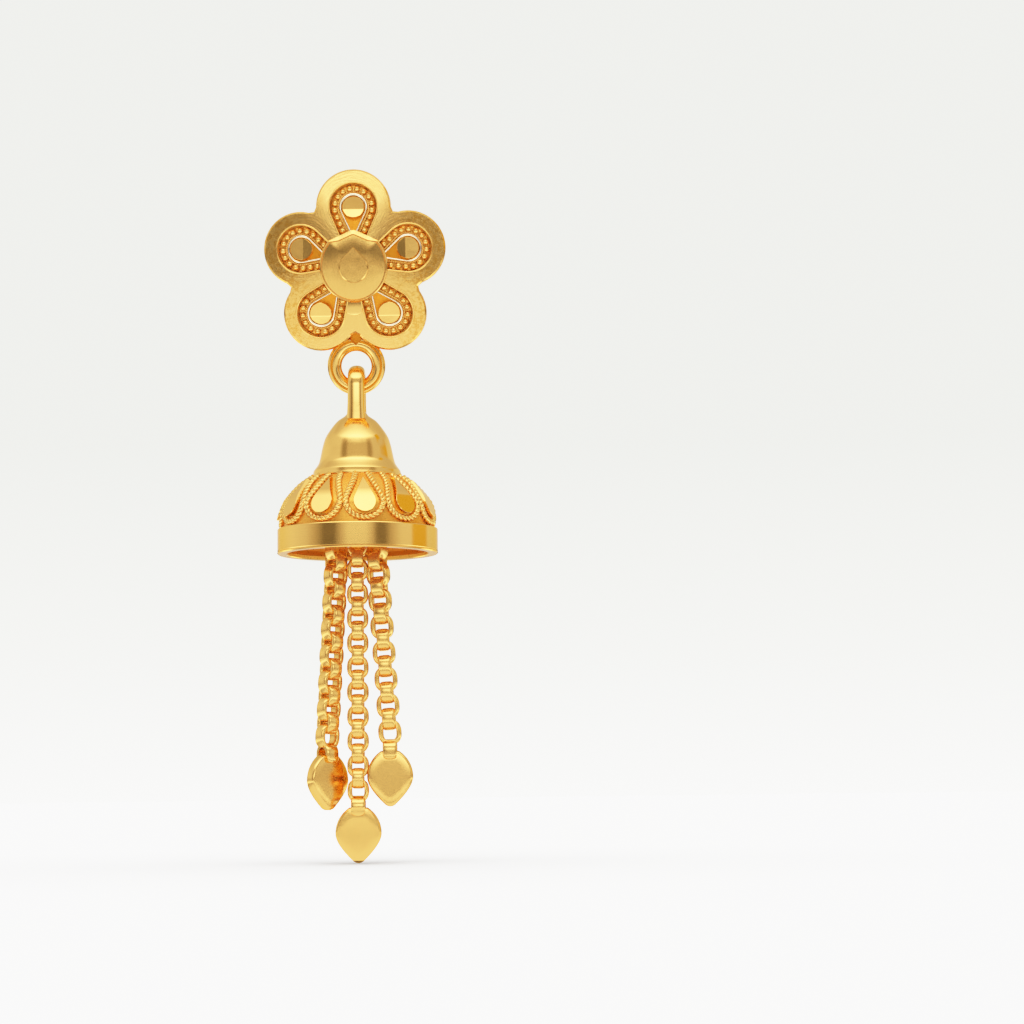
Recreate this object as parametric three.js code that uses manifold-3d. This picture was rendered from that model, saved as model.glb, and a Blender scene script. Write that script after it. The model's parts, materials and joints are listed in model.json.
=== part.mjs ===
// A gold drop earring: a five-petalled flower stud on an ear post, and a bell hung on the flower's
// ring, with three chains that end in flat leaves.
// Millimetres, +Z up, the front faces -Y. The origin is on the post's axis, at the flower's flat back.

import * as THREE from "three";
import { mergeVertices } from "three/addons/utils/BufferGeometryUtils.js";
import Module from "manifold-3d";

const wasm = await Module();
wasm.setup();

const DEG = Math.PI / 180;
const MERGE = 1e-4; // vertices closer than this are one vertex
const SEAT_GAP = 0.03; // between two pieces that are seated on each other

// ---- Driving dimensions of the stud -------------------------------------------------------------
// It is made face on: x to the right, y up, z towards the viewer from the flower's flat back.

const LEAN = 11 * DEG; // the drop's weight makes the stud's face look down by this much

const PETALS = [
  { angle: 90, reach: 3.91, facetTurn: 0 },
  { angle: 162, reach: 3.7, facetTurn: 90 },
  { angle: 234, reach: 3.87, facetTurn: 0 },
  { angle: 306, reach: 3.87, facetTurn: 0 },
  { angle: 18, reach: 3.78, facetTurn: -90 },
];
const HALF_SECTOR = 36 * DEG; // half the angle that one petal takes
const PETAL_RADIUS = 2.46;
const NOTCH_REACH = 4.42; // from the centre to the bottom of the notch between two petals
const ARC_END_REACH = 4.6; // a petal's arc ends this far out along the notch's line
const TIP_REACH = 6.5; // where the edge thickness is measured
const EDGE_THICKNESS = 0.9;
const PETAL_SLOPE = 9 * DEG; // each petal falls back towards its tip
const WINDOW_RADIUS = 1.65; // the sunk field of a petal
const WINDOW_NECK_HALF = 0.94;
const WINDOW_NECK_REACH = 1.9;
const WINDOW_DEPTH = 0.55;
const BOSS_SEAT = 1.65; // height of the flat that the centre boss sits on

const DISC = { radius: 0.73, lift: 0.04, edge: 0.3, ridge: 0.44, ridgeShift: 0.12 };

const BOSS = { halfWidth: 2.25, halfHeight: 2.39, cornerAngle: 44 * DEG, thickness: 0.36, bevel: 0.16 };
const BOSS_TABLE = { radius: 0.96, point: 1.36, height: 0.1, shift: -0.15 };

const RING_Y = -6.64; // the hanging ring's centre
const RING_DEPTH_CENTRE = 0.45; // in front of the flat back
const RING_PROFILE = [
  { radius: 1.02, depth: 0.18 },
  { radius: 1.26, depth: 0.4 },
  { radius: 1.64, depth: 0.42 },
  { radius: 1.92, depth: 0.25 },
];
const RING_WIRE_RADIUS = (RING_PROFILE[0].radius + RING_PROFILE[3].radius) / 2;
const RING_TAB = { halfWidth: 0.7, top: -3.6, bottom: -5.4, thickness: 0.3 };

const POST_PROFILE = [
  { radius: 0.9, out: 0 },
  { radius: 0.9, out: 0.3 },
  { radius: 0.5, out: 0.5 },
  { radius: 0.5, out: 9.7 },
  { radius: 0.35, out: 10 },
];

// ---- Driving dimensions of the drop -------------------------------------------------------------
// It hangs straight down, with z measured from the lowest point of the ring's wire, its pivot.

const LOOP = { inside: 0.62, thickHalf: 0.45, widthHalf: 0.56, straight: 1.0, taper: 0.82 };

// The bell's outside and inside, from the top down.
const BELL_TOP_Z = -1.87;
const BELL_OUTSIDE = [
  { radius: 0.77, z: -1.93 },
  { radius: 1.13, z: -2.16 },
  { radius: 1.63, z: -2.7 },
  { radius: 2.07, z: -3.24 },
  { radius: 2.26, z: -3.78 },
  { radius: 2.36, z: -4.32 },
  { radius: 2.5, z: -4.85 },
  { radius: 2.73, z: -5.42 },
  { radius: 2.98, z: -5.68 },
  { radius: 2.98, z: -5.8 },
  { radius: 3.62, z: -6.46 },
  { radius: 4.19, z: -7.0 },
  { radius: 4.61, z: -7.53 },
  { radius: 4.88, z: -8.07 },
  { radius: 4.99, z: -8.62 },
  { radius: 4.99, z: -9.3 },
  { radius: 5.27, z: -9.42 },
  { radius: 5.27, z: -11.05 },
  { radius: 5.21, z: -11.11 },
];
const BELL_INSIDE = [
  { radius: 4.57, z: -11.11 },
  { radius: 4.54, z: -10.85 },
  { radius: 4.9, z: -10.5 },
  { radius: 4.65, z: -8.62 },
  { radius: 4.15, z: -7.53 },
  { radius: 2.5, z: -5.95 },
  { radius: 2.0, z: -4.32 },
  { radius: 1.6, z: -3.22 },
  { radius: 0.9, z: -2.47 },
];
const BELL_INSIDE_TOP_Z = -2.32;
const BELL_SIDES = 36;

// Teardrop plates soldered round the skirt, points up.
const PLATE_COUNT = 11;
const PLATE_FIRST = 8.8 * DEG; // turned from the front towards +X
const PLATE = { roundZ: -8.12, radius: 0.73, pointZ: -6.4, stand: 0.2, root: 0.15 };
const SKIRT_TOP_Z = -5.8;
const SKIRT_BOTTOM_Z = -9.3;

// A bar across the inside of the bell carries the three chains.
const BAR = { z: -8.02, radius: 0.3, halfLength: 4.6 };
const CHAIN_RADIUS = 0.6;
const CHAIN_SIDES = 8;
const CHAIN_STEP = 3;

const LEAF = { halfThickness: 0.4, bevel: 0.12, top: 3.62 };
const BAIL = { outside: 0.68, wall: 0.3, halfWidth: 0.46, foot: 3.1, archCentre: 3.72 };
const STRANDS = [
  { side: "left", hangX: -1.22, x: -1.95, tipZ: -27.97, turn: 45 * DEG },
  { side: "centre", hangX: 0, x: 0, tipZ: -31.43, turn: 0 },
  { side: "right", hangX: 1.3, x: 2.17, tipZ: -27.77, turn: 0 },
];

// ---- Solids from geometry -----------------------------------------------------------------------

function solidOf(geometry) {
  const bare = geometry.index ? geometry.toNonIndexed() : geometry.clone();
  bare.deleteAttribute("normal");
  bare.deleteAttribute("uv");
  const merged = mergeVertices(bare, MERGE);
  const vertProperties = new Float32Array(merged.attributes.position.array);
  const triVerts = new Uint32Array(merged.index.array);
  return new wasm.Manifold(new wasm.Mesh({ numProp: 3, vertProperties, triVerts }));
}

function geometryOf(solid) {
  const { vertProperties, triVerts } = solid.getMesh();
  const geometry = new THREE.BufferGeometry();
  geometry.setAttribute("position", new THREE.BufferAttribute(vertProperties, 3));
  geometry.setIndex(new THREE.BufferAttribute(triVerts, 1));
  geometry.computeVertexNormals();
  return geometry;
}

function prism(shape, from, to, curveSegments = 12) {
  const geometry = new THREE.ExtrudeGeometry(shape, {
    depth: to - from,
    bevelEnabled: false,
    curveSegments,
  });
  return geometry.translate(0, 0, from);
}

// A plate that stands on z = 0, with a bevel round both faces inside the outline.
function bevelledPlate(shape, thickness, bevel, curveSegments) {
  const geometry = new THREE.ExtrudeGeometry(shape, {
    depth: thickness - 2 * bevel,
    bevelThickness: bevel,
    bevelSize: bevel,
    bevelOffset: -bevel,
    bevelSegments: 1,
    curveSegments,
  });
  return geometry.translate(0, 0, bevel);
}

// A profile of { radius, z } rows, turned about +Z.
function turned(rows, sides) {
  const points = rows.map((row) => new THREE.Vector2(row.radius, row.z));
  return new THREE.LatheGeometry(points, sides).rotateX(Math.PI / 2);
}

// A closed band between two profiles that run the same way. The second one faces outwards.
function turnedBetween(inner, outer, sides) {
  return turned([outer[0], ...inner, ...outer.toReversed()], sides);
}

// A profile that starts and ends on the axis has its first and last rows there.
function onAxis(z) {
  return { radius: 0, z };
}

// ---- Flower with its ring -----------------------------------------------------------------------

// One arc per petal, and a pointed notch before the next one.
function flowerOutline() {
  const shape = new THREE.Shape();
  for (const { angle, reach } of PETALS) {
    const across = ARC_END_REACH - reach * Math.cos(HALF_SECTOR);
    const gap = reach * Math.sin(HALF_SECTOR) - Math.sqrt(PETAL_RADIUS ** 2 - across ** 2);
    const alongX = ARC_END_REACH * Math.cos(HALF_SECTOR) + gap * Math.sin(HALF_SECTOR);
    const alongY = ARC_END_REACH * Math.sin(HALF_SECTOR) - gap * Math.cos(HALF_SECTOR);
    const halfArc = Math.atan2(alongY, alongX - reach);
    const turn = angle * DEG;
    const centre = new THREE.Vector2(Math.cos(turn), Math.sin(turn)).multiplyScalar(reach);
    shape.absarc(centre.x, centre.y, PETAL_RADIUS, turn - halfArc, turn + halfArc, false);
    const notch = turn + HALF_SECTOR;
    shape.lineTo(NOTCH_REACH * Math.cos(notch), NOTCH_REACH * Math.sin(notch));
  }
  return shape;
}

// A field with a round far end, whose sides run straight in to the neck.
function teardrop(radius, reach, neckHalf, neckReach) {
  const toNeck = Math.atan2(neckReach - reach, neckHalf);
  const distance = Math.hypot(neckHalf, neckReach - reach);
  const tangent = toNeck + Math.acos(radius / distance);
  const shape = new THREE.Shape();
  shape.moveTo(-neckHalf, neckReach);
  shape.lineTo(neckHalf, neckReach);
  shape.absarc(0, reach, radius, tangent, Math.PI - tangent, false);
  return shape;
}

// A round of that radius about the origin, drawn out to a point above it.
function roundWithPoint(radius, point) {
  const tangent = Math.acos(radius / point);
  const shape = new THREE.Shape();
  shape.absarc(0, 0, radius, Math.PI / 2 + tangent, Math.PI / 2 - tangent, false);
  shape.lineTo(0, point);
  return shape;
}

// Brings what is made on a level plane, for a petal that points along +y, onto that petal's slope.
function ontoPetal(geometry, petal) {
  const crownHeight = EDGE_THICKNESS + TIP_REACH * Math.tan(PETAL_SLOPE);
  geometry.rotateX(-PETAL_SLOPE);
  geometry.translate(0, 0, crownHeight);
  return geometry.rotateZ((petal.angle - 90) * DEG);
}

function ringSolid() {
  const front = RING_PROFILE.map(({ radius, depth }) => ({ radius, z: depth }));
  const back = RING_PROFILE.map(({ radius, depth }) => ({ radius, z: -depth }));
  const ring = turnedBetween(back, front, 32);
  return solidOf(ring.translate(0, RING_Y, RING_DEPTH_CENTRE));
}

// The tab closes the back of the notch between the two lower petals, where the ring is soldered.
function ringTab() {
  const { halfWidth, top, bottom, thickness } = RING_TAB;
  const tab = new THREE.BoxGeometry(2 * halfWidth, top - bottom, thickness);
  return solidOf(tab.translate(0, (top + bottom) / 2, thickness / 2));
}

function flowerWithRing() {
  const tallest = 2.4;
  const slabSize = 30;
  let flower = solidOf(prism(flowerOutline(), 0, tallest, 20));
  for (const petal of PETALS) {
    const slab = new THREE.BoxGeometry(slabSize, slabSize, tallest).translate(0, 0, tallest / 2);
    flower = flower.subtract(solidOf(ontoPetal(slab, petal)));
  }
  const seatSlab = new THREE.BoxGeometry(slabSize, slabSize, tallest);
  flower = flower.subtract(solidOf(seatSlab.translate(0, 0, BOSS_SEAT + tallest / 2)));
  for (const petal of PETALS) {
    const reach = petal.reach / Math.cos(PETAL_SLOPE);
    const field = teardrop(WINDOW_RADIUS, reach, WINDOW_NECK_HALF, WINDOW_NECK_REACH);
    const pocket = prism(field, -WINDOW_DEPTH, tallest, 20);
    flower = flower.subtract(solidOf(ontoPetal(pocket, petal)));
  }
  return geometryOf(flower.add(ringTab()).add(ringSolid()));
}

// ---- Disc in each petal -------------------------------------------------------------------------

// A round plate with a low ridge, like a flat roof, standing just off the field's floor.
function petalDisc(petal) {
  const { radius, lift, edge, ridge, ridgeShift } = DISC;
  const roof = new THREE.Shape();
  roof.moveTo(-radius, 0);
  roof.lineTo(radius, 0);
  roof.lineTo(radius, edge);
  roof.lineTo(ridgeShift, ridge);
  roof.lineTo(-radius, edge);
  const wedge = prism(roof, -radius, radius);
  wedge.rotateX(Math.PI / 2);
  wedge.rotateZ(petal.facetTurn * DEG - (petal.angle - 90) * DEG + Math.PI / 2);
  const round = new THREE.CylinderGeometry(radius, radius, 1, 24).rotateX(Math.PI / 2);
  const disc = geometryOf(solidOf(round).intersect(solidOf(wedge)));
  disc.translate(0, petal.reach / Math.cos(PETAL_SLOPE), lift - WINDOW_DEPTH);
  return ontoPetal(disc, petal);
}

// ---- Centre boss --------------------------------------------------------------------------------

// An oval whose top is cut by two straight edges that meet in a soft peak.
function bossOutline() {
  const { halfWidth, halfHeight, cornerAngle } = BOSS;
  const shape = new THREE.Shape();
  shape.absellipse(0, 0, halfWidth, halfHeight, Math.PI - cornerAngle, cornerAngle, false, 0);
  shape.lineTo(0, halfHeight);
  return shape;
}

function centreBoss() {
  const body = bevelledPlate(bossOutline(), BOSS.thickness, BOSS.bevel, 36);
  body.translate(0, 0, BOSS_SEAT + SEAT_GAP);
  const frontZ = BOSS_SEAT + SEAT_GAP + BOSS.thickness;
  const outline = roundWithPoint(BOSS_TABLE.radius, BOSS_TABLE.point);
  const table = prism(outline, -BOSS.thickness / 2, BOSS_TABLE.height, 20);
  table.translate(0, BOSS_TABLE.shift, frontZ);
  return geometryOf(solidOf(body).add(solidOf(table)));
}

// ---- Ear post -----------------------------------------------------------------------------------

function earPost() {
  const rows = POST_PROFILE.map(({ radius, out }) => ({ radius, z: -out }));
  const profile = [onAxis(rows[0].z), ...rows, onAxis(rows.at(-1).z)];
  return turned(profile.toReversed(), 20).translate(0, 0, -SEAT_GAP);
}

// ---- Bell with its loop -------------------------------------------------------------------------

// An oval link in the YZ plane: a ring whose lower half is drawn down and narrowed.
function loopGeometry() {
  const { inside, thickHalf, widthHalf, straight, taper } = LOOP;
  const middle = inside + thickHalf;
  const sides = 10;
  const rows = [];
  for (let i = 0; i <= sides; i += 1) {
    const a = (i / sides) * 2 * Math.PI;
    rows.push({ radius: middle + thickHalf * Math.cos(a), z: widthHalf * Math.sin(a) });
  }
  const loop = turned(rows, 28).rotateY(Math.PI / 2);
  const place = loop.attributes.position;
  for (let i = 0; i < place.count; i += 1) {
    if (place.getZ(i) < -1e-4) {
      place.setY(i, place.getY(i) * taper);
      place.setZ(i, place.getZ(i) - straight);
    }
  }
  return loop;
}

function skirtPlates() {
  const skirt = BELL_OUTSIDE.filter(({ z }) => z <= SKIRT_TOP_Z && z >= SKIRT_BOTTOM_Z);
  const outer = skirt.map(({ radius, z }) => ({ radius: radius + PLATE.stand, z }));
  const inner = skirt.map(({ radius, z }) => ({ radius: radius - PLATE.root, z }));
  const shell = solidOf(turnedBetween(inner, outer, BELL_SIDES));
  const shape = roundWithPoint(PLATE.radius, PLATE.pointZ - PLATE.roundZ);
  const plates = [];
  for (let i = 0; i < PLATE_COUNT; i += 1) {
    const plate = prism(shape, 1, 8, 14).rotateX(Math.PI / 2).translate(0, 0, PLATE.roundZ);
    plate.rotateZ(PLATE_FIRST + (i * 2 * Math.PI) / PLATE_COUNT);
    plates.push(shell.intersect(solidOf(plate)));
  }
  return plates;
}

function bellWithLoop() {
  const rows = [onAxis(BELL_TOP_Z), ...BELL_OUTSIDE, ...BELL_INSIDE, onAxis(BELL_INSIDE_TOP_Z)];
  let bell = solidOf(turned(rows.toReversed(), BELL_SIDES));
  for (const plate of skirtPlates()) {
    bell = bell.add(plate);
  }
  const bar = new THREE.CylinderGeometry(BAR.radius, BAR.radius, 2 * BAR.halfLength, 12);
  bell = bell.add(solidOf(bar.rotateZ(Math.PI / 2).translate(0, 0, BAR.z)));
  return geometryOf(bell.add(solidOf(loopGeometry())));
}

// ---- Chains and leaves --------------------------------------------------------------------------

// The round envelope of one fine chain, from just under the bar to just over its leaf's bail.
function chainTube({ hangX, x, tipZ }) {
  const top = new THREE.Vector3(hangX, 0, BAR.z - BAR.radius - 2 * SEAT_GAP);
  const bailTop = tipZ + BAIL.archCentre + BAIL.outside;
  const bottom = new THREE.Vector3(x, 0, bailTop + 2 * SEAT_GAP);
  const section = new THREE.Shape();
  section.absarc(0, 0, CHAIN_RADIUS, 0, 2 * Math.PI, false);
  return new THREE.ExtrudeGeometry(section, {
    extrudePath: new THREE.LineCurve3(top, bottom),
    steps: Math.round(top.distanceTo(bottom) / CHAIN_STEP),
    curveSegments: CHAIN_SIDES,
    bevelEnabled: false,
  });
}

// The outline stands on its tip at the origin.
function leafOutline() {
  const shape = new THREE.Shape();
  shape.moveTo(-0.52, LEAF.top);
  shape.lineTo(0.52, LEAF.top);
  shape.bezierCurveTo(1.0, 3.2, 1.51, 2.55, 1.51, 1.94);
  shape.bezierCurveTo(1.51, 1.45, 1.05, 0.75, 0.35, 0.1);
  shape.quadraticCurveTo(0, -0.1, -0.35, 0.1);
  shape.bezierCurveTo(-1.05, 0.75, -1.51, 1.45, -1.51, 1.94);
  shape.bezierCurveTo(-1.51, 2.55, -1.0, 3.2, -0.52, LEAF.top);
  return shape;
}

// A strap bent over the leaf's top edge, with one foot on the front and one on the back.
function bailGeometry() {
  const { outside, wall, halfWidth, foot, archCentre } = BAIL;
  const inside = outside - wall;
  const shape = new THREE.Shape();
  shape.moveTo(outside, foot);
  shape.lineTo(outside, archCentre);
  shape.absarc(0, archCentre, outside, 0, Math.PI, false);
  shape.lineTo(-outside, foot);
  shape.lineTo(-inside, foot);
  shape.absarc(0, archCentre, inside, Math.PI, 0, true);
  shape.lineTo(inside, foot);
  const strap = prism(shape, -halfWidth, halfWidth, 10);
  return strap.rotateX(Math.PI / 2).rotateZ(Math.PI / 2);
}

function leaf({ x, tipZ, turn }) {
  const plate = bevelledPlate(leafOutline(), 2 * LEAF.halfThickness, LEAF.bevel, 8);
  plate.translate(0, 0, -LEAF.halfThickness).rotateX(Math.PI / 2);
  const whole = geometryOf(solidOf(plate).add(solidOf(bailGeometry())));
  return whole.rotateZ(turn).translate(x, 0, tipZ);
}

// ---- The assembly -------------------------------------------------------------------------------

const FINISH = {
  satin: { color: 0xdcb05a, metalness: 1, roughness: 0.42 },
  polished: { color: 0xe8b84f, metalness: 1, roughness: 0.2 },
  chain: { color: 0xe2b252, metalness: 1, roughness: 0.28 },
};

function named(name, geometry, finish) {
  const mesh = new THREE.Mesh(geometry, new THREE.MeshStandardMaterial(FINISH[finish]));
  mesh.name = name;
  return mesh;
}

// This group stands the stud up, so that its front faces -Y and leans.
const STAND_UP = Math.PI / 2 + LEAN;

function stud() {
  const group = new THREE.Group();
  group.rotation.x = STAND_UP;
  group.add(named("flower_with_ring", flowerWithRing(), "satin"));
  PETALS.forEach((petal, i) => {
    group.add(named(`petal_disc_${i + 1}`, petalDisc(petal), "polished"));
  });
  group.add(named("centre_boss", centreBoss(), "satin"));
  group.add(named("ear_post", earPost(), "polished"));
  return group;
}

function drop() {
  const group = new THREE.Group();
  group.position.set(0, RING_Y - RING_WIRE_RADIUS, RING_DEPTH_CENTRE);
  group.position.applyAxisAngle(new THREE.Vector3(1, 0, 0), STAND_UP);
  group.add(named("bell_with_loop", bellWithLoop(), "polished"));
  for (const strand of STRANDS) {
    group.add(named(`chain_${strand.side}`, chainTube(strand), "chain"));
    group.add(named(`leaf_${strand.side}`, leaf(strand), "satin"));
  }
  return group;
}

const earring = new THREE.Group();
earring.name = "drop_earring";
earring.add(stud(), drop());

export default earring;
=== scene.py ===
"""A gold drop earring: a flower stud, a bell that swings from its ring, and three chains with leaves.

It is laid out as a Blender add-on and run as a script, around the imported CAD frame. Shapes are drawn in
millimetres, the stud face on and the drop about its pivot, and become metres when a piece is placed.
"""

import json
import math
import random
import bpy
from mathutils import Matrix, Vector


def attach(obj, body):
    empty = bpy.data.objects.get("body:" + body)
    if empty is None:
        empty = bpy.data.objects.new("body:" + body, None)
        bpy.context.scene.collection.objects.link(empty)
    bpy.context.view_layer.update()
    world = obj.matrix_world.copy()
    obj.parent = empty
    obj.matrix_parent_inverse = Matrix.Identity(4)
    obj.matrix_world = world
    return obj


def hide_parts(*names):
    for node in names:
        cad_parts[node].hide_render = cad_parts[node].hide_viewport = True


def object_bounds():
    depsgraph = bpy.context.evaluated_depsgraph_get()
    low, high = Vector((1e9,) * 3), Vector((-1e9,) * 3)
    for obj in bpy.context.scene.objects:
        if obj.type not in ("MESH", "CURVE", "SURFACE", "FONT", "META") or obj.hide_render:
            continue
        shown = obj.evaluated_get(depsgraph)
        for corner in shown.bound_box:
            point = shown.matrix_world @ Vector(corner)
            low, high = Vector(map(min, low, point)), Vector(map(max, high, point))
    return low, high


bl_info = {
    "name": "Drop earring",
    "version": (1, 0, 0),
    "blender": (4, 5, 0),
    "location": "3D View > Sidebar > Earring",
    "description": "Models a gold drop earring piece by piece around its CAD frame",
    "category": "Object",
}

import bmesh
import bpy
from mathutils import Matrix, Vector
from mathutils.geometry import interpolate_bezier

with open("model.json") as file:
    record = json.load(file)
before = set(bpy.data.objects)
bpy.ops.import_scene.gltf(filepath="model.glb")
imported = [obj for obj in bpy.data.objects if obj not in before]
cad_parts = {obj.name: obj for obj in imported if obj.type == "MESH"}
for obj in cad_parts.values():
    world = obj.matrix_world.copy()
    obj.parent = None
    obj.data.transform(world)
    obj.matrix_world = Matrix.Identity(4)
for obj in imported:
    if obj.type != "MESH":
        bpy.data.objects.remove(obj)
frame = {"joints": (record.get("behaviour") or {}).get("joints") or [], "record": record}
cad_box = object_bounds()

MM = 0.001
MERGE = 1e-4  # in millimetres
FULL_TURN = 2 * math.pi

# ---- Where the two bodies are -----------------------------------------------------------------------

joint = frame["joints"][0]
post_mount = next(m for m in frame["record"]["mounts"] if m["name"] == "ear_post")
LEAN = math.asin(post_mount["axis"][2])  # the stud's face looks down by this much
STUD = Matrix.Rotation(math.pi / 2 + LEAN, 4, "X") @ Matrix.Scale(MM, 4)
DROP = Matrix.Translation(joint["pos_m"]) @ Matrix.Scale(MM, 4)

# ---- The stud's shape, in millimetres ---------------------------------------------------------------

PETALS = [
    {"name": "top", "angle": 90, "reach": 3.91, "disc": (0, 12, 1, 0)},
    {"name": "left", "angle": 162, "reach": 3.7, "disc": (90, 0, 27, 4)},
    {"name": "lower_left", "angle": 234, "reach": 3.87, "disc": (0, 0, 16, 0)},
    {"name": "lower_right", "angle": 306, "reach": 3.87, "disc": (0, 0, 16, 0)},
    {"name": "right", "angle": 18, "reach": 3.78, "disc": (-90, 0, 23, 4)},
]
# A disc's four numbers are degrees: the turn of its larger facet from straight up, how far the larger
# and the smaller facet fall away from the ridge, and how far both lean up along the ridge.
HALF_SECTOR = math.radians(36)
SLOPE = math.radians(9)
EDGE_THICKNESS = 0.9
TIP_REACH = 6.5
CROWN = EDGE_THICKNESS + TIP_REACH * math.tan(SLOPE)
NOTCH_REACH = 4.42
ARC_END_REACH = 4.6
SEAM_START = 0.6
SEAM_BLEND = 1.5  # how widely a petal's slope runs into the next petal's
BOSS_SEAT = 1.65
# Lines round a petal's disc: the radius of the round, and the corner where the two legs end.
BEAD_LINE = (1.25, (0.54, 1.9))
TWIST_LINE = (1.02, (0.22, 1.9))
RIM_LINE = (1.61, (0.9, 1.9))
WALL_LINE = (0.855, (0.02, 1.9))
PAD_LINE = (0.86, (0.02, 1.9))
WALL = [(0, -0.06), (0.3, -0.06), (0.35, -0.045), (0.37, 0), (0.35, 0.045), (0.3, 0.06), (0, 0.06)]
RING_Y = -6.64
RING_DEPTH = 0.45

# ---- The drop's shape, with z from the pivot --------------------------------------------------------

DOME_OUTSIDE = [
    (0.0, -1.55), (0.35, -1.56), (0.55, -1.61), (0.64, -1.7), (0.72, -1.82), (0.86, -1.95), (1.04, -2.07),
    (1.32, -2.28), (1.7, -2.74), (2.08, -3.34), (2.27, -3.92), (2.39, -4.47), (2.48, -4.88), (2.56, -5.12),
    (2.68, -5.32), (2.81, -5.5), (2.885, -5.62), (2.925, -5.77),
]
DOME_LIP = [(2.96, -5.93), (2.98, -5.98), (2.98, -6.03), (2.95, -6.07)]
DOME_INSIDE = [(2.45, -6.1), (2.0, -4.32), (1.6, -3.22), (0.9, -2.7), (0.0, -2.65)]
DOME_SHIFT = -0.02  # the dome sits this far to one side of the skirt
SKIRT = [
    (2.6, -5.92), (2.76, -5.96), (3.12, -6.2), (3.64, -6.58), (4.03, -6.98), (4.38, -7.39), (4.67, -7.79),
    (4.84, -8.19), (4.89, -8.62), (4.92, -9.55),
]
SKIRT_INSIDE = [(4.75, -9.55), (4.6, -8.62), (4.05, -7.53), (2.4, -6.1), (2.4, -5.9)]
BAND = [
    (4.92, -9.48), (5.24, -9.48), (5.29, -9.5), (5.31, -9.55), (5.31, -10.96), (5.29, -11.0),
    (5.32, -11.03), (5.32, -11.08), (5.26, -11.14), (4.72, -11.14), (4.66, -11.1), (4.64, -10.9),
    (4.9, -10.55), (4.92, -9.7),
]
PLATE_COUNT = 11
PLATE_FIRST = math.radians(8.8)
PLATE_STEP = FULL_TURN / PLATE_COUNT
PLATE_ROUND_Z = -8.12
PLATE_POINT_Z = -6.4
PLATE_FRONT = [  # its facets' distance from the axis, and z
    (3.83, -6.3), (4.63, -7.25), (4.745, -7.4), (4.835, -7.55), (4.91, -7.7), (4.99, -7.9), (5.4, -8.95),
]
BAR_Z = -8.02
# From hang, beside the bar's middle, down to a leaf's tip at x. A chain turns by the first number of
# degrees at its top and by the second at its foot, and its leaf tilts to the front.
STRANDS = [
    {"name": "left", "hang": -1.24, "x": -2.06, "tip": -27.97, "links": 18, "foot": 0.28,
     "turns": (42, 42), "tilt": 0},
    {"name": "centre", "hang": -0.02, "x": -0.05, "tip": -31.43, "links": 24, "foot": 0.17,
     "turns": (0, 0), "tilt": -1.5},
    {"name": "right", "hang": 1.05, "x": 2.05, "tip": -27.77, "links": 18, "foot": 0.3,
     "turns": (-40, 0), "tilt": 1.2},
]
BAIL_ARCH = 3.72  # above the leaf's tip
LEAF_OUTLINE = [
    ((0.6, 3.62), (1.12, 3.27), (1.51, 2.68), (1.51, 1.94)),
    ((1.51, 1.94), (1.51, 1.42), (1.0, 0.75), (0.3, 0.1)),
    ((0.3, 0.1), (0.1, -0.033), (-0.1, -0.033), (-0.3, 0.1)),
    ((-0.3, 0.1), (-1.0, 0.75), (-1.51, 1.42), (-1.51, 1.94)),
    ((-1.51, 1.94), (-1.51, 2.68), (-1.12, 3.27), (-0.6, 3.62)),
]


# ---- Values a user would change ---------------------------------------------------------------------


def linear(code):
    """An sRGB hex colour as linear red, green and blue."""
    values = [int(code[i : i + 2], 16) / 255 for i in (1, 3, 5)]
    return tuple(v / 12.92 if v <= 0.04045 else ((v + 0.055) / 1.055) ** 2.4 for v in values)


def size(name, description, millimetres):
    """A length property, kept in metres."""
    return bpy.props.FloatProperty(
        name=name, description=description, default=millimetres * MM, min=0, unit="LENGTH", precision=5
    )


def tint(name, description, code):
    """A colour property from its sRGB hex value."""
    return bpy.props.FloatVectorProperty(
        name=name, description=description, default=linear(code), size=3, min=0, max=1, subtype="COLOR"
    )


class EARRING_PG_flower(bpy.types.PropertyGroup):
    """Sizes of the stud's flower."""

    petal_radius: size("Petal radius", "Radius of the arc at a petal's end", 2.46)
    window_radius: size("Field radius", "Radius of a petal's sunk field", 1.65)
    window_depth: size("Field depth", "How deep a petal's field is sunk", 0.55)
    edge_bevel: size("Edge bevel", "Bevel round the flower's outline", 0.11)
    bead_radius: size("Bead radius", "Radius of a granulation bead", 0.2)
    bead_pitch: size("Bead pitch", "Distance from one bead to the next", 0.5)
    disc_radius: size("Disc radius", "Radius of the faceted disc in each petal", 0.73)


class EARRING_PG_bell(bpy.types.PropertyGroup):
    """Sizes of the bell's ornaments."""

    plate_radius: size("Plate radius", "Radius of a skirt plate's round end", 0.73)
    rope_radius: size("Rope radius", "Radius of the twisted rope round each plate", 0.235)
    rope_pitch: size("Rope pitch", "Length of one full twist of the rope", 0.6)


class EARRING_PG_chain(bpy.types.PropertyGroup):
    """Sizes of the box chain and the leaves."""

    link_width: size("Link width", "Outside width of a link", 1.44)
    link_height: size("Link height", "Outside height of a link seen face on", 1.58)
    barrel_height: size("Barrel height", "Outside height of a link seen from its side", 1.4)
    strip_width: size("Strip width", "Width of the strip that a link is bent from", 0.79)
    strip_wall: size("Strip wall", "Thickness of that strip", 0.3)
    link_pitch: size("Link pitch", "Distance from one link to the next", 0.826)
    leaf_thickness: size("Leaf thickness", "Thickness of a leaf", 0.8)


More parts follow.
